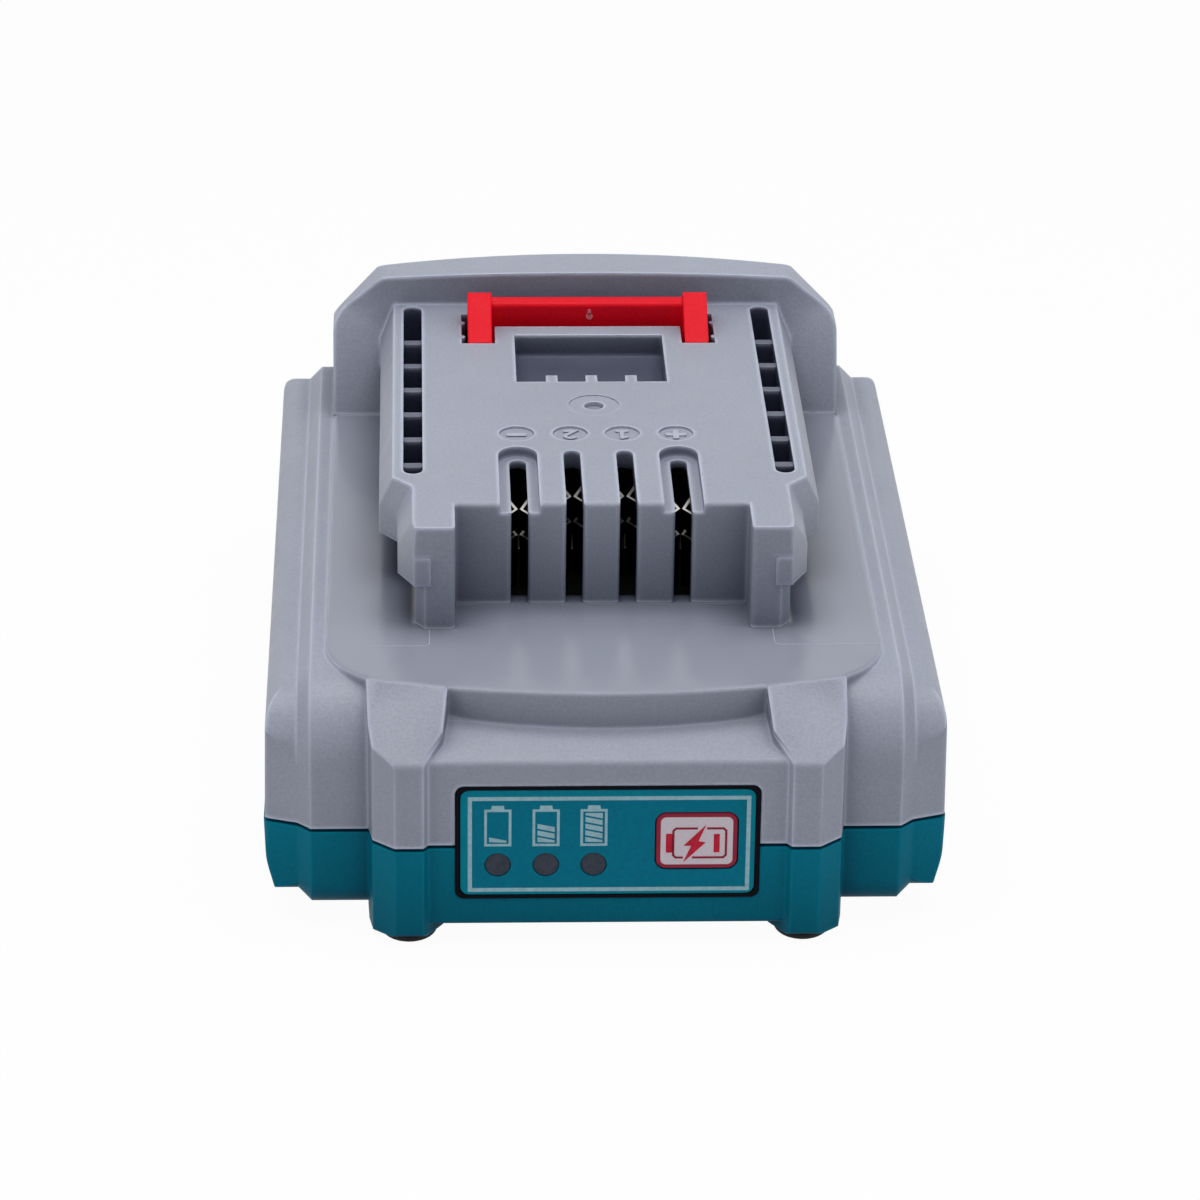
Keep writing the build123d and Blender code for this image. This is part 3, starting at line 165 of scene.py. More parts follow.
class Recipe(Tree):
    """One material under construction."""

    def __init__(self, name):
        self.material = bpy.data.materials.new(name)
        self.material.use_nodes = True
        super().__init__(self.material.node_tree)
        self.output = self.add("ShaderNodeOutputMaterial")
        self.shader = self.add("ShaderNodeBsdfPrincipled")
        self.join(self.shader.outputs[0], self.output.inputs[0])
        self.place = self.add("ShaderNodeTexCoord").outputs["Object"]

    def surface(self, colour, roughness, normal, specular=0.5, metallic=0.0):
        """Joins the shader's colour, roughness and normal, sets its constants and gives the material."""
        self.join(colour, self.shader.inputs["Base Color"])
        self.join(roughness, self.shader.inputs["Roughness"])
        self.join(normal, self.shader.inputs["Normal"])
        self.shader.inputs["Specular IOR Level"].default_value = specular
        self.shader.inputs["Metallic"].default_value = metallic
        return self.material

    def noise(self, size, detail, place=None):
        """Noise whose blobs have about this size."""
        inputs = {"Vector": place or self.place, "Scale": 1 / size, "Detail": detail}
        return self.add("ShaderNodeTexNoise", inputs).outputs["Fac"]

    def ramp(self, value, low, high, start=0.0, end=1.0):
        """Value mapped from low..high to start..end, held at both ends."""
        inputs = {"Value": value, "From Min": low, "From Max": high, "To Min": start, "To Max": end}
        return self.add("ShaderNodeMapRange", inputs).outputs["Result"]

    def blend(self, factor, first, second, kind="MIX"):
        """Colour between two colours, or between the first and what the kind of mix makes of both."""
        made = self.add("ShaderNodeMix", data_type="RGBA", blend_type=kind)
        for index, value in ((0, factor), (6, first), (7, second)):
            if isinstance(value, bpy.types.NodeSocket):
                self.join(value, made.inputs[index])
            else:
                made.inputs[index].default_value = value
        return made.outputs[2]

    def axis(self, index):
        """One coordinate of the surface point."""
        return self.add("ShaderNodeSeparateXYZ", {0: self.place}).outputs[index]

    def off(self, index, value):
        """How far one coordinate of the surface point lies from a value."""
        return self.math("ABSOLUTE", self.math("SUBTRACT", self.axis(index), value))

    def rounded(self, radius):
        """Normal that rounds edges over a radius."""
        return self.add("ShaderNodeBevel", {"Radius": radius}, samples=6).outputs[0]

    def agreement(self, normal):
        """How well a rounded normal agrees with the flat one: 1 on flat surface, and less near an edge."""
        flat = self.add("ShaderNodeNewGeometry").outputs["Normal"]
        match = self.add("ShaderNodeVectorMath", {0: normal, 1: flat}, operation="DOT_PRODUCT")
        return match.outputs["Value"]

    def box_depth(self, middle, half, radius):
        """How far inside a rounded upright box the surface point lies, seen from the front."""
        reaches = []
        for index, centre, reach in ((0, middle[0], half[0]), (2, middle[1], half[1])):
            past = self.math("SUBTRACT", self.off(index, centre), reach - radius)
            reaches.append(self.math("MAXIMUM", past, 0.0))
        squares = [self.math("MULTIPLY", reach, reach) for reach in reaches]
        return self.math("SUBTRACT", radius, self.math("SQRT", self.math("ADD", *squares)))

    def in_box(self, low, high, soft):
        """Mask of the surface inside a box and its mirror image across the pack, soft over a short way."""
        mask = 1.0
        for index in range(3):
            here = self.axis(index)
            if index == 0:
                here = self.math("ABSOLUTE", here)
            mask = self.math("MULTIPLY", self.ramp(here, low[index] - soft, low[index]), mask)
            mask = self.math("MULTIPLY", self.ramp(here, high[index] + soft, high[index]), mask)
        return mask

    def painted_hollow_shade(self, colour, reach):
        """Painted shade: the colour made darker and a little bluer in grooves, recesses and corners."""
        darkest = (0.16, 0.176, 0.24, 1.0)
        open_share = self.add("ShaderNodeAmbientOcclusion", {"Distance": reach}, samples=8).outputs["AO"]
        dark = self.blend(1.0, colour, darkest, "MULTIPLY")
        return self.blend(self.ramp(open_share, 0.0, 0.92), dark, colour)

    def relief(self, height, depth, normal=None):
        """Normal of a bumped surface, on top of another normal."""
        inputs = {"Height": height, "Distance": depth, "Strength": 1.0}
        if normal:
            inputs["Normal"] = normal
        return self.add("ShaderNodeBump", inputs).outputs[0]


# Materials

def moulded(name, colour, roughness, grain=0.3 * mm, depth=0.03 * mm, drift=0.06, wear_and_highlight=1.3, edge=0.4 * mm,
            specular=0.2, crest=None, smooth_level=None, border=None, hollow_shade=True, shaded_pockets=()):
    """Moulded plastic: eroded grain, slow drift of tone, uneven gloss, edges paler from rubbing and a
    painted highlight, and painted shade in recesses.

    A crest is how much brighter the very edge is, a painted highlight. A smooth level is a height at which
    the mould is polished, and painted darker there. A border is a coloured rim inside a rounded box. The
    shaded boxes are where shade is painted, darker and bluer deeper down: their two corners, the depth over
    which it gets dark, and how dark it is at the top and below.
    """
    recipe = Recipe(name)
    rounded = recipe.rounded(edge)
    agreement = recipe.agreement(rounded)
    slow = recipe.noise(28 * mm, 3)
    patches = recipe.noise(4 * mm, 4)
    fine = recipe.noise(grain, 3)
    tone = recipe.blend(recipe.ramp(slow, 0.35, 0.65), shade(colour, 1 - drift), shade(colour, 1 + drift))
    speckled = recipe.blend(recipe.ramp(fine, 0.32, 0.68, 0.0, 0.6), tone, shade(colour, 0.8))
    uneven = recipe.ramp(patches, 0.3, 0.6, 0.45, 1.0)
    # Edges paler, partly wear and partly painted highlight.
    wear_and_highlight_mask = recipe.math("MULTIPLY", recipe.ramp(agreement, *edge_band), uneven)
    coloured = recipe.blend(wear_and_highlight_mask, speckled, shade(colour, wear_and_highlight))
    # Painted highlight along the very edge.
    if crest:
        coloured = recipe.blend(recipe.ramp(agreement, *crest_band), coloured, shade(colour, crest))
    gloss = recipe.ramp(patches, 0.3, 0.7, roughness - 0.05, roughness + 0.06)
    if smooth_level:
        polished = recipe.ramp(recipe.off(2, smooth_level), 0.12 * mm, 0.05 * mm)
        gloss = recipe.math("SUBTRACT", gloss, recipe.math("MULTIPLY", polished, 0.26))
        fine = recipe.math("MULTIPLY", fine, recipe.ramp(polished, 0.0, 1.0, 1.0, 0.1))
        # Painted shade: the polished level is made darker.
        coloured = recipe.blend(polished, coloured, shade(colour, 0.84))
    if border:
        middle, half, radius, width, rim_colour = border
        inside = recipe.box_depth(middle, half, radius)
        on_rim = recipe.ramp(inside, width + 0.02 * mm, width - 0.02 * mm)
        coloured = recipe.blend(on_rim, coloured, rim_colour)
    # Painted shade where walls stand close by.
    if hollow_shade:
        coloured = recipe.painted_hollow_shade(coloured, 18 * mm)
    # Painted shade in the shaded boxes, darker and bluer deeper down.
    pocket_shade_colour = (0.1 * colour[0], 0.11 * colour[1], 0.17 * colour[2], 1.0)
    for low, high, fall, top, deep in shaded_pockets:
        inside = recipe.in_box(low, high, 0.15 * mm)
        sunk = recipe.ramp(recipe.axis(2), high[2] - fall, high[2], deep, top)
        coloured = recipe.blend(recipe.math("MULTIPLY", inside, sunk), coloured, pocket_shade_colour)
    return recipe.surface(coloured, gloss, recipe.relief(fine, depth, rounded), specular=specular)


def rolled(name, colour, roughness, painted_top_light=False):
    """Bare metal with drawn streaks, dull patches and a painted highlight on its edges. With painted top
    light it is bright only where it faces up and painted dark elsewhere; without it, recesses get painted
    shade.
    """
    recipe = Recipe(name)
    rounded = recipe.rounded(0.1 * mm)
    streak_lengths = (0.05, 1.5, 0.05)
    scale = tuple(1 / length for length in streak_lengths)
    stretched = recipe.add("ShaderNodeMapping", {"Vector": recipe.place, "Scale": scale})
    streaks = recipe.noise(1 * mm, 4, stretched.outputs[0])
    patches = recipe.noise(2.5 * mm, 4)
    tone = recipe.blend(recipe.ramp(patches, 0.3, 0.7), shade(colour, 0.85), shade(colour, 1.08))
    # Painted highlight on the edges.
    bright = recipe.blend(recipe.ramp(recipe.agreement(rounded), *edge_band), tone, shade(colour, 1.25))
    if painted_top_light:
        # Painted shade on every face that does not face up.
        normal = recipe.add("ShaderNodeNewGeometry").outputs["Normal"]
        upward = recipe.add("ShaderNodeSeparateXYZ", {0: normal}).outputs[2]
        bright = recipe.blend(recipe.ramp(upward, 0.35, 0.65), shade(colour, 0.012), bright)
    else:
        bright = recipe.painted_hollow_shade(bright, 6 * mm)
    gloss = recipe.ramp(streaks, 0.3, 0.7, roughness - 0.08, roughness + 0.1)
    return recipe.surface(bright, gloss, recipe.relief(streaks, 0.004 * mm, rounded), metallic=1.0)


def printed(name, colour, roughness=0.5):
    """Printing ink: a little mottled, with a fine tooth."""
    recipe = Recipe(name)
    mottle = recipe.noise(0.5 * mm, 4)
    tooth = recipe.relief(recipe.noise(0.12 * mm, 2), 0.004 * mm)
    tone = recipe.blend(recipe.ramp(mottle, 0.35, 0.7), shade(colour, 1.06), shade(colour, 0.86))
    gloss = recipe.ramp(mottle, 0.3, 0.7, roughness - 0.06, roughness + 0.08)
    return recipe.surface(tone, gloss, tooth, specular=0.15)


def sleeved_cell():
    """Shrink sleeve round the side of a cell, with bare steel at its two ends."""
    recipe = Recipe("cell_sleeve")
    bare = recipe.ramp(recipe.off(0, 0.0), (cell_sleeve_half - 0.05) * mm, (cell_sleeve_half + 0.05) * mm)
    mottle = recipe.noise(6 * mm, 3)
    sleeve = recipe.blend(recipe.ramp(mottle, 0.35, 0.65), linear(46, 128, 112), linear(58, 142, 124))
    tone = recipe.blend(bare, sleeve, linear(176, 178, 180))
    recipe.join(bare, recipe.shader.inputs["Metallic"])
    gloss = recipe.ramp(recipe.noise(1 * mm, 3), 0.3, 0.7, 0.24, 0.36)
    return recipe.surface(tone, gloss, recipe.relief(mottle, 0.05 * mm, recipe.rounded(0.15 * mm)))


def laminate():
    """Circuit board: solder mask over fine copper tracks, with ringed holes."""
    recipe = Recipe("board_laminate")
    bricks = {"Vector": recipe.place, "Scale": 1 / (5.5 * mm), "Mortar Size": 0.035, "Mortar Smooth": 0.2}
    tracks = recipe.add("ShaderNodeTexBrick", bricks).outputs["Fac"]
    cells = {"Vector": recipe.place, "Scale": 1 / (2.6 * mm)}
    holes = recipe.add("ShaderNodeTexVoronoi", cells).outputs["Distance"]
    ring = recipe.math("MULTIPLY", recipe.ramp(holes, 0.16, 0.14), recipe.ramp(holes, 0.08, 0.1))
    mottle = recipe.noise(7 * mm, 3)
    mask = recipe.blend(recipe.ramp(mottle, 0.3, 0.7), linear(18, 84, 52), linear(26, 98, 60))
    tracked = recipe.blend(tracks, mask, linear(44, 128, 78))
    tone = recipe.blend(ring, tracked, linear(196, 178, 120))
    gloss = recipe.ramp(mottle, 0.3, 0.7, 0.28, 0.38)
    return recipe.surface(tone, gloss, recipe.relief(tracks, 0.03 * mm))


def smoked():
    """Smoked clear plastic of the display's windows and lamps."""
    recipe = Recipe("clear_plastic")
    haze = recipe.noise(0.8 * mm, 3)
    tone = recipe.blend(recipe.ramp(haze, 0.3, 0.7), linear(42, 52, 64), linear(56, 64, 78))
    gloss = recipe.ramp(haze, 0.3, 0.7, 0.22, 0.34)
    normal = recipe.relief(haze, 0.01 * mm, recipe.rounded(0.15 * mm))
    return recipe.surface(tone, gloss, normal, specular=0.2)


def display_face():
    """Printed film of the display: deep field inside the line, brighter border outside it."""
    recipe = Recipe("overlay_plastic")
    field_middle = (0.15 * mm, 12.55 * mm)
    field_half = (15.6 * mm, 5.95 * mm)
    inside = recipe.box_depth(field_middle, field_half, 0.1 * mm)
    mottle = recipe.noise(0.6 * mm, 4)
    weave = recipe.noise(0.14 * mm, 2)
    field = recipe.blend(recipe.ramp(mottle, 0.3, 0.7), linear(0, 116, 140), linear(0, 128, 152))
    rim = recipe.blend(recipe.ramp(mottle, 0.3, 0.7), linear(0, 134, 154), linear(0, 144, 162))
    tone = recipe.blend(recipe.ramp(inside, 0.0, 0.1 * mm), rim, field)
    woven = recipe.blend(recipe.ramp(weave, 0.35, 0.65, 0.0, 0.5), tone, linear(0, 108, 132))
    gloss = recipe.ramp(mottle, 0.3, 0.7, 0.42, 0.52)
    return recipe.surface(woven, gloss, recipe.relief(weave, 0.006 * mm), specular=0.06)


def middle_of(name):
    """Middle of a node's box, seen from the front."""
    low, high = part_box(name)
    return ((low.x + high.x) / 2, (low.z + high.z) / 2)


button_middle = middle_of("check_button")
button_half = (4.55 * mm, 3.5 * mm)
button_rim = (button_middle, button_half, 1.2 * mm, 0.55 * mm, linear(150, 26, 54))
# Boxes of painted shade: the deck's pocket and the rail slots.
deck_pocket_shade = ((-9 * mm, 12.9 * mm, 33 * mm), (9 * mm, 27.5 * mm, 41.1 * mm), 3 * mm, 0.25, 0.95)
rail_slot_shade = ((20.1 * mm, -18.7 * mm, 35.4 * mm), (22.7 * mm, 36.8 * mm, 41.2 * mm), 1.6 * mm, 0.64, 0.97)
materials = {
    "upper_plastic": moulded("upper_plastic", linear(158, 163, 177), 0.44, depth=0.04 * mm, drift=0.04,
                             wear_and_highlight=1.7, edge=0.9 * mm, specular=0.3, crest=2.2,
                             smooth_level=plateau_level * mm, shaded_pockets=(deck_pocket_shade, rail_slot_shade)),
    "lower_plastic": moulded("lower_plastic", linear(0, 121, 144), 0.46, wear_and_highlight=1.6, edge=0.6 * mm,
                             specular=0.05),
    "latch_plastic": moulded("latch_plastic", linear(232, 6, 32), 0.4, wear_and_highlight=1.25, specular=0.12,
                             hollow_shade=False),
    "frame_plastic": moulded("frame_plastic", linear(7, 7, 16), 0.35, depth=0.01 * mm, wear_and_highlight=2.0,
                             edge=0.2 * mm, specular=0.05, hollow_shade=False),
    "overlay_plastic": display_face(),
    "clear_plastic": smoked(),
    "button_plastic": moulded("button_plastic", linear(224, 212, 218), 0.42, grain=0.2 * mm,
                              depth=0.008 * mm, drift=0.03, wear_and_highlight=1.05, edge=0.25 * mm, border=button_rim,
                              hollow_shade=False),
    "component_black": moulded("component_black", linear(24, 24, 27), 0.5, grain=0.2 * mm, depth=0.01 * mm,
                               wear_and_highlight=1.6, edge=0.1 * mm),
    "holder_plastic": moulded("holder_plastic", linear(20, 21, 24), 0.5, wear_and_highlight=1.6, specular=0.15),
    "foot_rubber": moulded("foot_rubber", linear(24, 24, 27), 0.72, grain=0.25 * mm, wear_and_highlight=1.9),
    "board_laminate": laminate(),
    "cell_sleeve": sleeved_cell(),
    "link_nickel": rolled("link_nickel", linear(196, 192, 182), 0.3),
    "steel": rolled("steel", linear(150, 152, 156), 0.34),
    "spring_steel": rolled("spring_steel", linear(176, 178, 182), 0.26),
    "contact_metal": rolled("contact_metal", linear(236, 233, 226), 0.36, painted_top_light=True),
    "pale_ink": printed("pale_ink", linear(158, 196, 204)),
    "red_ink": printed("red_ink", linear(200, 30, 56)),
    "dark_red_ink": printed("dark_red_ink", linear(150, 28, 56)),
    "witness": printed("witness", linear(168, 173, 188), 0.3),
    "sign_plastic": moulded("sign_plastic", linear(182, 185, 198), 0.45, wear_and_highlight=1.1, edge=0.1 * mm),
    "gate_mark": printed("gate_mark", linear(238, 120, 130), 0.4),
}


def dress_nodes():
    """Every carried-over node gets the material of its slot."""
    slots = {part["node"]: part["material_slot"] for part in frame["record"]["subparts"]}
    for name, body in nodes.items():
        body.data.materials.clear()
        body.data.materials.append(materials[slots[name]])


# Upper housing with the hipped corners of its hood and the steeper inner flank of its ramps

def hull(name, points):
    """Closed convex piece round some points."""
    work = bmesh.new()
    for point in points:
        work.verts.new(point)
    wrapped = bmesh.ops.convex_hull(work, input=work.verts)
    spare = {item for item in wrapped["geom_interior"] + wrapped["geom_unused"]
             if isinstance(item, bmesh.types.BMVert)}
    bmesh.ops.delete(work, geom=list(spare), context="VERTS")
    bmesh.ops.recalc_face_normals(work, faces=work.faces)
    mesh = bpy.data.meshes.new(name)
    work.to_mesh(mesh)
    work.free()
    return linked(name, mesh)


def combine(base, tool, operation):
    """Joins a closed tool to the base, or cuts it out, and removes the tool."""
    step = base.modifiers.new("step", "BOOLEAN")
    step.operation = operation
    step.solver = "EXACT"
    step.object = tool
    bpy.context.view_layer.update()
    ready = base.evaluated_get(bpy.context.evaluated_depsgraph_get())
    mesh = bpy.data.meshes.new_from_object(ready)
    base.modifiers.clear()
    base.data = mesh
    bpy.data.objects.remove(tool)


def beyond(mesh, origin, normal, floor):
    """Points of the mesh, and of its section, that lie outside a plane and above a floor."""
    work = bmesh.new()
    work.from_mesh(mesh)
    for place, facing in ((origin, normal), (Vector((0, 0, floor)), Vector((0, 0, 1)))):
        geometry = work.verts[:] + work.edges[:] + work.faces[:]
        bmesh.ops.bisect_plane(work, geom=geometry, plane_co=place, plane_no=facing, clear_inner=True)
    points = [vert.co.copy() for vert in work.verts]
    work.free()
    return points


def hip_corner(housing, side):
    """Slopes off one corner of the hood, from the end of its crest to the foot of its shoulder."""
    crest = Vector((side * 25.4, 37.2, 45.05)) * mm
    foot = Vector((side * 31.2, 32.5, 40.6)) * mm
    eave = Vector((side * 31.2, 42.5, 35.6)) * mm
    normal = (foot - crest).cross(eave - foot).normalized() * side
    wall = 2.2 * mm
    floor = 30.5 * mm
    filling_share = 0.9
    corner = beyond(housing.data, crest - normal * wall, normal, floor)
    middle = sum(corner, Vector()) / len(corner)
    filling = hull("filling", [middle + (point - middle) * filling_share for point in corner])
    combine(housing, filling, "UNION")
    across = normal.cross(Vector((0, 0, 1))).normalized()
    down = normal.cross(across).normalized()
    if down.z > 0:
        down = -down
    fall_to_floor = (crest.z - floor) / -down.z
    cutter_depth = 30 * mm
    cutter_half_width = 60 * mm
    cutter = []
    for out in (0.0, cutter_depth):
        for along in (-cutter_half_width, cutter_half_width):
            for fall in (-cutter_depth, fall_to_floor):
                cutter.append(crest + normal * out + across * along + down * fall)
    combine(housing, hull("cutter", cutter), "DIFFERENCE")


def steepen_ramp(housing, side):
    """Adds the flank with which a post's ramp meets the plateau along its bowed edge.

    The points of its top give X, the way back from the pack's front and Z, in millimetres.
    """
    top = [(23.4, 0.7, 23.1), (20.4, 0.7, 23.1), (18.2, 3.2, 25.41), (17.63, 7.13, plateau_level),
           (17.46, 10.0, plateau_level), (26.7, 10.0, plateau_level), (26.66, 9.7, plateau_level),
           (26.45, 4.7, 25.73)]
    middle = Vector([sum(point[axis] for point in top) / len(top) for axis in range(3)])
    drawn_in = 0.08
    drop = Vector((0, 0, 3))
    points = []
    for point in top:
        below = Vector(point) + (middle - Vector(point)) * drawn_in - drop
        points += [Vector(point), below]
    placed = [Vector((side * point.x, point.y - half_length, point.z)) * mm for point in points]
    combine(housing, hull("flank", placed), "UNION")


def shape_housing():
    """Upper housing as the photograph shows it, in place of its plainer solid."""
    sharp_angle = math.radians(28)
    work = bmesh.new()
    work.from_mesh(nodes["upper_housing"].data)
    bmesh.ops.remove_doubles(work, verts=work.verts, dist=weld_distance * mm)
    work.verts.index_update()
    mesh = bpy.data.meshes.new("upper_housing_shell")
    mesh.from_pydata([vert.co[:] for vert in work.verts], [],
                     [[vert.index for vert in face.verts] for face in work.faces])
    work.free()
    housing = linked("upper_housing_shell", mesh)
    for side in (-1, 1):
        steepen_ramp(housing, side)
        hip_corner(housing, side)
    for face in housing.data.polygons:
        face.use_smooth = True
    housing.data.set_sharp_from_angle(angle=sharp_angle)
    housing.data.materials.clear()
    housing.data.materials.append(materials["upper_plastic"])
    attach(housing, "pack")
    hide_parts("upper_housing")


# Flat pieces, with outlines in millimetres

def rounded_box(low, high, radius, steps=6):
    """Outline of a box with rounded corners."""
    (left, bottom), (right, top) = low, high
    corners = ((right - radius, top - radius, 0), (left + radius, top - radius, 90),
               (left + radius, bottom + radius, 180), (right - radius, bottom + radius, 270))
    points = []
    for x, y, start in corners:
        for step in range(steps + 1):
            angle = math.radians(start + 90 * step / steps)
            points.append((x + radius * math.cos(angle), y + radius * math.sin(angle)))
    return points


def circle(radius, steps):
    """Outline of a circle round the origin."""
    angles = [2 * math.pi * step / steps for step in range(steps)]
    return [(radius * math.cos(angle), radius * math.sin(angle)) for angle in angles]


def ribbon(points, width):
    """Outline of a line drawn through points."""
    sides = []
    for sign in (1, -1):
        run = points if sign > 0 else list(reversed(points))
        for index, point in enumerate(run):
            here = Vector(point)
            before = (here - Vector(run[index - 1])).normalized() if index else None
            after = (Vector(run[index + 1]) - here).normalized() if index + 1 < len(run) else None
            along = ((before or after) + (after or before)).normalized()
            reach = width / 2 / max(along.dot(before or after), 0.4)
            sides.append((here.x - along.y * reach, here.y + along.x * reach))
    return sides


def plate(name, loops, thickness, place, material, body="pack"):
    """Closed flat piece. The loops are its outlines and holes, on the plane that place gives."""
    curve = bpy.data.curves.new(name, "CURVE")
    curve.dimensions = "2D"
    curve.fill_mode = "BOTH"
    curve.extrude = thickness / 2
    for loop in loops:
        spline = curve.splines.new("POLY")
        spline.points.add(len(loop) - 1)
        for point, (x, y) in zip(spline.points, loop):
            point.co = (x, y, 0, 1)
        spline.use_cyclic_u = True
    drawn = linked(name + "_drawn", curve)
    ready = drawn.evaluated_get(bpy.context.evaluated_depsgraph_get())
    mesh = bpy.data.meshes.new_from_object(ready)
    bpy.data.objects.remove(drawn)
    work = bmesh.new()
    work.from_mesh(mesh)
    bmesh.ops.remove_doubles(work, verts=work.verts, dist=weld_distance)
    bmesh.ops.transform(work, matrix=place @ Matrix.Scale(mm, 4), verts=work.verts)
    bmesh.ops.recalc_face_normals(work, faces=work.faces)
    work.to_mesh(mesh)
    work.free()
    mesh.name = name
    mesh.materials.clear()
    mesh.materials.append(materials[material])
    made = linked(name, mesh)
    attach(made, body)


def facing_front(y):
    """Upright plane that faces the front, with its middle at this Y, in metres."""
    return Matrix.Translation((0, y, 0)) @ Matrix.Rotation(math.radians(90), 4, "X")


# Signs on the display

def display_line():
    """Pale line round the display."""
    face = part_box("panel_overlay")[0].y
    outer = rounded_box((-15.48, 6.61), (15.78, 18.49), 0.12)
    inner = rounded_box((-15.02, 7.09), (15.32, 18.02), 0.05)
    plate("display_line", [outer, inner], film, facing_front(face), "pale_ink")


def battery_outline(middle):
    """Outer and inner outline of an upright battery sign."""
    half, foot, shoulder, line = 1.5, 12.33, 16.93, 0.3
    cap_foot_half, cap_half, cap_top = 0.74, 0.66, 17.4
    outer = [(middle - half, foot), (middle + half, foot), (middle + half, shoulder),
             (middle + cap_foot_half, shoulder), (middle + cap_half, cap_top), (middle - cap_half, cap_top),
             (middle - cap_foot_half, shoulder), (middle - half, shoulder)]
    inner_half = half - line
    inner = [(middle - inner_half, foot + line), (middle - inner_half, shoulder - line),
             (middle + inner_half, shoulder - line), (middle + inner_half, foot + line)]
    return [outer, inner]


def charge_bar(middle, number, is_top):
    """Outline of one bar in a battery sign. It slants, and the top bar has a level upper edge."""
    half, foot, floor, pitch, slant = 0.95, 12.86, 12.79, 0.83, 0.42
    left_rise, right_rise = (0.26, 0.26) if is_top else (0.6, 0.18)
    low = foot + pitch * number
    return [(middle - half, max(low, floor)), (middle + half, max(low - slant, floor)),
            (middle + half, low + right_rise), (middle - half, low + left_rise)]


def charge_icons():
    """Three battery signs, from nearly empty to full."""
    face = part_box("panel_overlay")[0].y
    full = 5
    for number, (middle, bars) in enumerate(((-12.17, 1), (-6.84, 3), (-1.55, full))):
        loops = battery_outline(middle)
        for bar in range(bars):
            loops.append(charge_bar(middle, bar, bar == full - 1))
        name = "charge_icon_%d" % (number + 1)
        plate(name, loops, film, facing_front(face), "pale_ink")


def button_signs():
    """A battery with a bolt on the check button."""
    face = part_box("check_button")[0].y
    place = facing_front(face) @ Matrix.Translation((button_middle[0], button_middle[1], 0))
    left, right, bottom, top, corner = -2.6, 3.25, -2.09, 1.55, 0.3
    upper = ribbon([(0.1, top), (left + corner, top), (left, top - corner), (left, bottom + corner),
                    (left + corner, bottom), (-1.5, bottom)], button_line_width)
    lower = ribbon([(1.12, top), (right - corner, top), (right, top - corner), (right, bottom + corner),
                    (right - corner, bottom), (-0.5, bottom)], button_line_width)
    plate("button_battery_line", [upper, lower], film, place, "dark_red_ink", "button")
    bolt = [(1.05, 2.04), (-1.46, -0.61), (-0.62, -0.63), (-1.48, -2.72), (1.0, -0.2), (0.2, -0.04)]
    cap = rounded_box((-3.42, -1.48), (-2.68, 0.92), 0.2)
    charge = [(1.88, -1.46), (2.55, -1.46), (2.55, 0.84), (1.88, 0.84)]
    plate("button_bolt", [bolt, cap, charge], film, place, "red_ink", "button")


# Signs and witness lines on the mouldings

def deck_signs():
    """Raised signs in the four round recesses behind the terminal slots. They read from behind."""
    floor = deck_level - mark_recess_depth
    thickness = 0.16
    inner_place, outer_place = 3.05, 9.3
    place = Matrix.Translation((0, mark_recess_place * mm, (floor + thickness / 2) * mm))
    minus = rounded_box((-1.15, -0.32), (1.15, 0.32), 0.12)
    plus = [(-0.34, -1.2), (0.34, -1.2), (0.34, -0.34), (1.2, -0.34), (1.2, 0.34), (0.34, 0.34),
            (0.34, 1.2), (-0.34, 1.2), (-0.34, 0.34), (-1.2, 0.34), (-1.2, -0.34), (-0.34, -0.34)]
    one = [(-0.7, -1.2), (0.75, -1.2), (0.75, -0.76), (0.28, -0.76), (0.28, 1.2), (-0.16, 1.2), (-0.7, 0.8),
           (-0.48, 0.42), (-0.18, 0.62), (-0.18, -0.76), (-0.7, -0.76)]
    arc = [(0.58 * math.cos(math.radians(angle)), 0.46 + 0.55 * math.sin(math.radians(angle)))
           for angle in range(165, -50, -15)]
    two = ribbon(arc + [(-0.55, -0.98), (0.8, -0.98)], 0.42)
    for name, loop, x, sign in (("minus", minus, -outer_place, 1), ("two", two, -inner_place, -1),
                                ("one", one, inner_place, -1), ("plus", plus, outer_place, 1)):
        moved = [(x + sign * px, sign * py) for px, py in loop]
        plate("deck_sign_" + name, [moved], thickness, place, "sign_plastic")


def witness_lines():
    """Faint lines that the mould's inserts leave on the plateau, and the gate's mark on the latch bar."""
    level = Matrix.Translation((0, 0, plateau_level * mm))
    front, rear = -37.6, -33.5
    for side, name, inner, reach in ((-1, "left", 19.6, 26.5), (1, "right", 19.2, 31.0)):
        line = ribbon([(side * reach, front), (side * (inner + 0.7), front),
                       (side * (inner + 0.2), front + 0.2), (side * inner, front + 0.7),
                       (side * inner, rear)], witness_line_width)
        plate("plateau_line_" + name, [line], film, level, "witness")
    thickness = 0.08
    mark = circle(0.42, 20)
    stem = rounded_box((-0.2, 0.2), (0.2, 0.95), 0.15)
    place = facing_front(latch_bar_front * mm) @ Matrix.Translation((0.3 * mm, 42.1 * mm, 0))
    plate("latch_gate_mark", [mark], thickness, place, "gate_mark", "latch")
    plate("latch_gate_stem", [stem], thickness, place, "gate_mark", "latch")


# Floor, world and lights

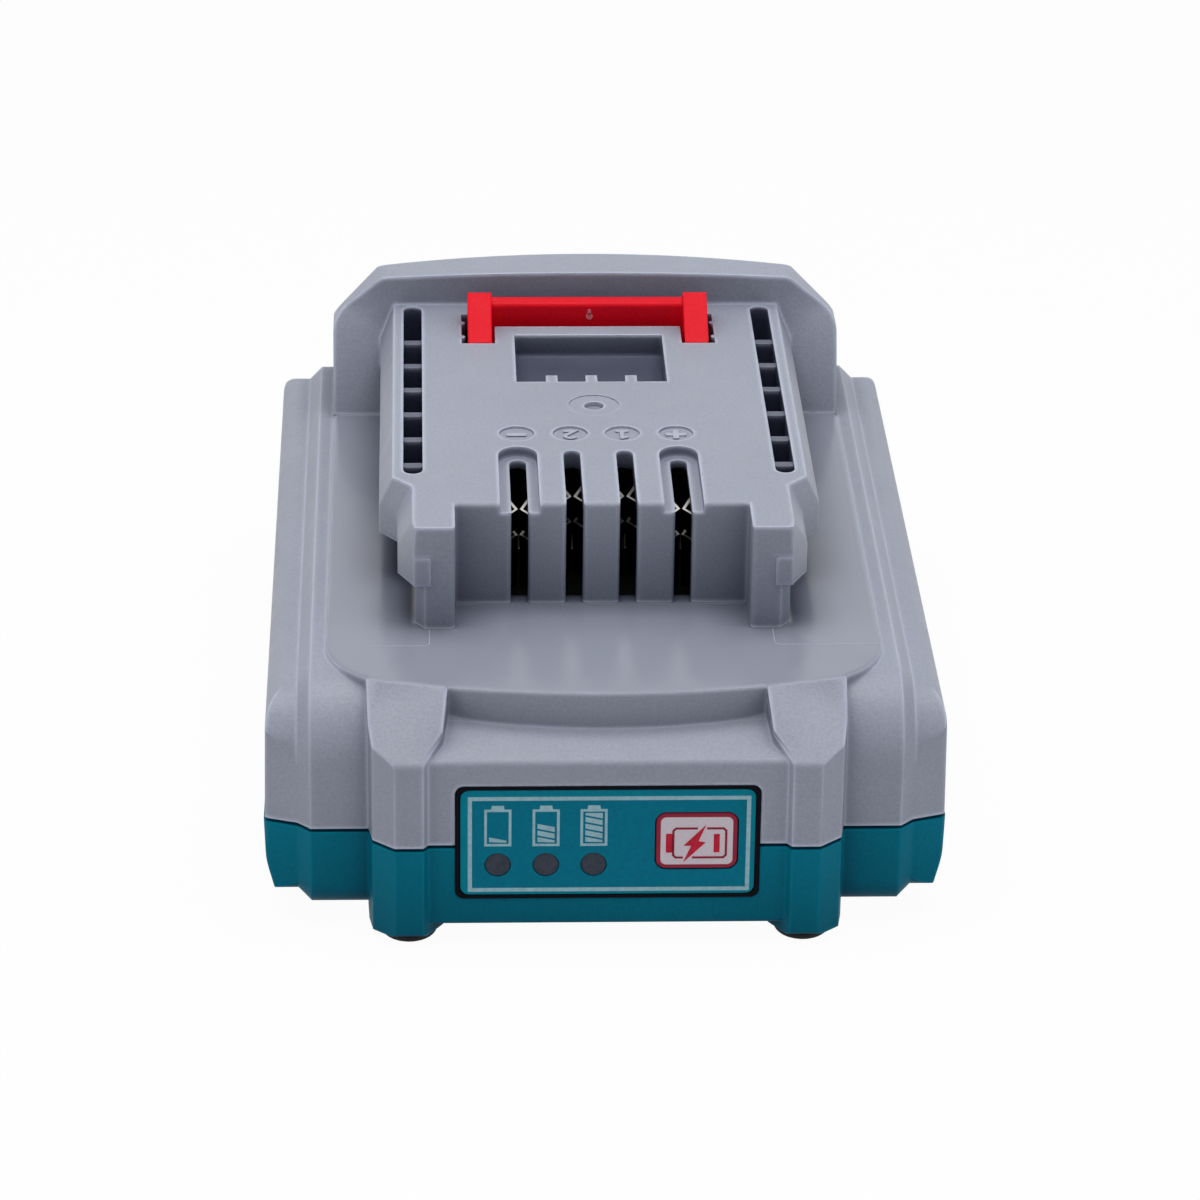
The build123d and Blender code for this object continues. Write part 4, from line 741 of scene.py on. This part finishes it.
def pale_floor():
    """Pale floor that shows nearly white to the camera and keeps the shadow."""
    mesh = bpy.data.meshes.new("floor")
    work = bmesh.new()
    bmesh.ops.create_grid(work, x_segments=1, y_segments=1, size=6)
    work.to_mesh(mesh)
    work.free()
    floor = linked("floor", mesh)
    recipe = Recipe("floor")
    recipe.shader.inputs["Base Color"].default_value = (0.86, 0.86, 0.87, 1)
    recipe.shader.inputs["Roughness"].default_value = 0.8
    recipe.shader.inputs["Specular IOR Level"].default_value = 0.1
    white = recipe.add("ShaderNodeEmission", {"Color": (1, 1, 1, 1), "Strength": 1.0})
    share = recipe.math("MULTIPLY", recipe.seen(), 0.96)
    mix = recipe.add("ShaderNodeMixShader", {0: share, 1: recipe.shader.outputs[0], 2: white.outputs[0]})
    recipe.join(mix.outputs[0], recipe.output.inputs[0])
    mesh.materials.append(recipe.material)


def studio_world():
    """World that shows white to the camera and gives a dim, cool light."""
    world = bpy.data.worlds.new("studio")
    world.use_nodes = True
    sky = Tree(world.node_tree)
    dim = sky.add("ShaderNodeBackground", {"Color": (0.88, 0.89, 1.0, 1), "Strength": 0.14})
    white = sky.add("ShaderNodeBackground", {"Color": (1, 1, 1, 1), "Strength": 1.0})
    mix = sky.add("ShaderNodeMixShader", {0: sky.seen(), 1: dim.outputs[0], 2: white.outputs[0]})
    sky.add("ShaderNodeOutputWorld", {0: mix.outputs[0]})
    bpy.context.scene.world = world


def lamp(name, place, size, power, colour):
    """Soft box at a place, turned to the pack's middle."""
    target = Vector((0, 0, 0.02))
    data = bpy.data.lights.new(name, "AREA")
    data.shape = "RECTANGLE"
    data.size, data.size_y = size
    data.energy = power
    data.color = colour
    made = linked(name, data)
    made.location = place
    made.rotation_mode = "QUATERNION"
    made.rotation_quaternion = (target - Vector(place)).to_track_quat("-Z", "Y")


def lights():
    """Large box overhead, one to each side and a weak one in front."""
    lamp("top_box", (0.0, -0.02, 0.45), (0.36, 0.28), 1.57, (1, 1, 1))
    lamp("left_box", (-0.75, -0.20, 0.35), (0.5, 0.6), 1.22, (1.0, 0.99, 0.97))
    lamp("right_box", (0.75, -0.15, 0.35), (0.5, 0.6), 1.22, (0.97, 0.98, 1.0))
    lamp("front_box", (0.0, -0.9, 0.45), (0.8, 0.3), 0.56, (0.9, 0.9, 1.0))


bpy.context.scene.view_settings.view_transform = "Standard"
place_camera()
dress_nodes()
shape_housing()
display_line()
charge_icons()
button_signs()
deck_signs()
witness_lines()
pale_floor()
studio_world()
lights()
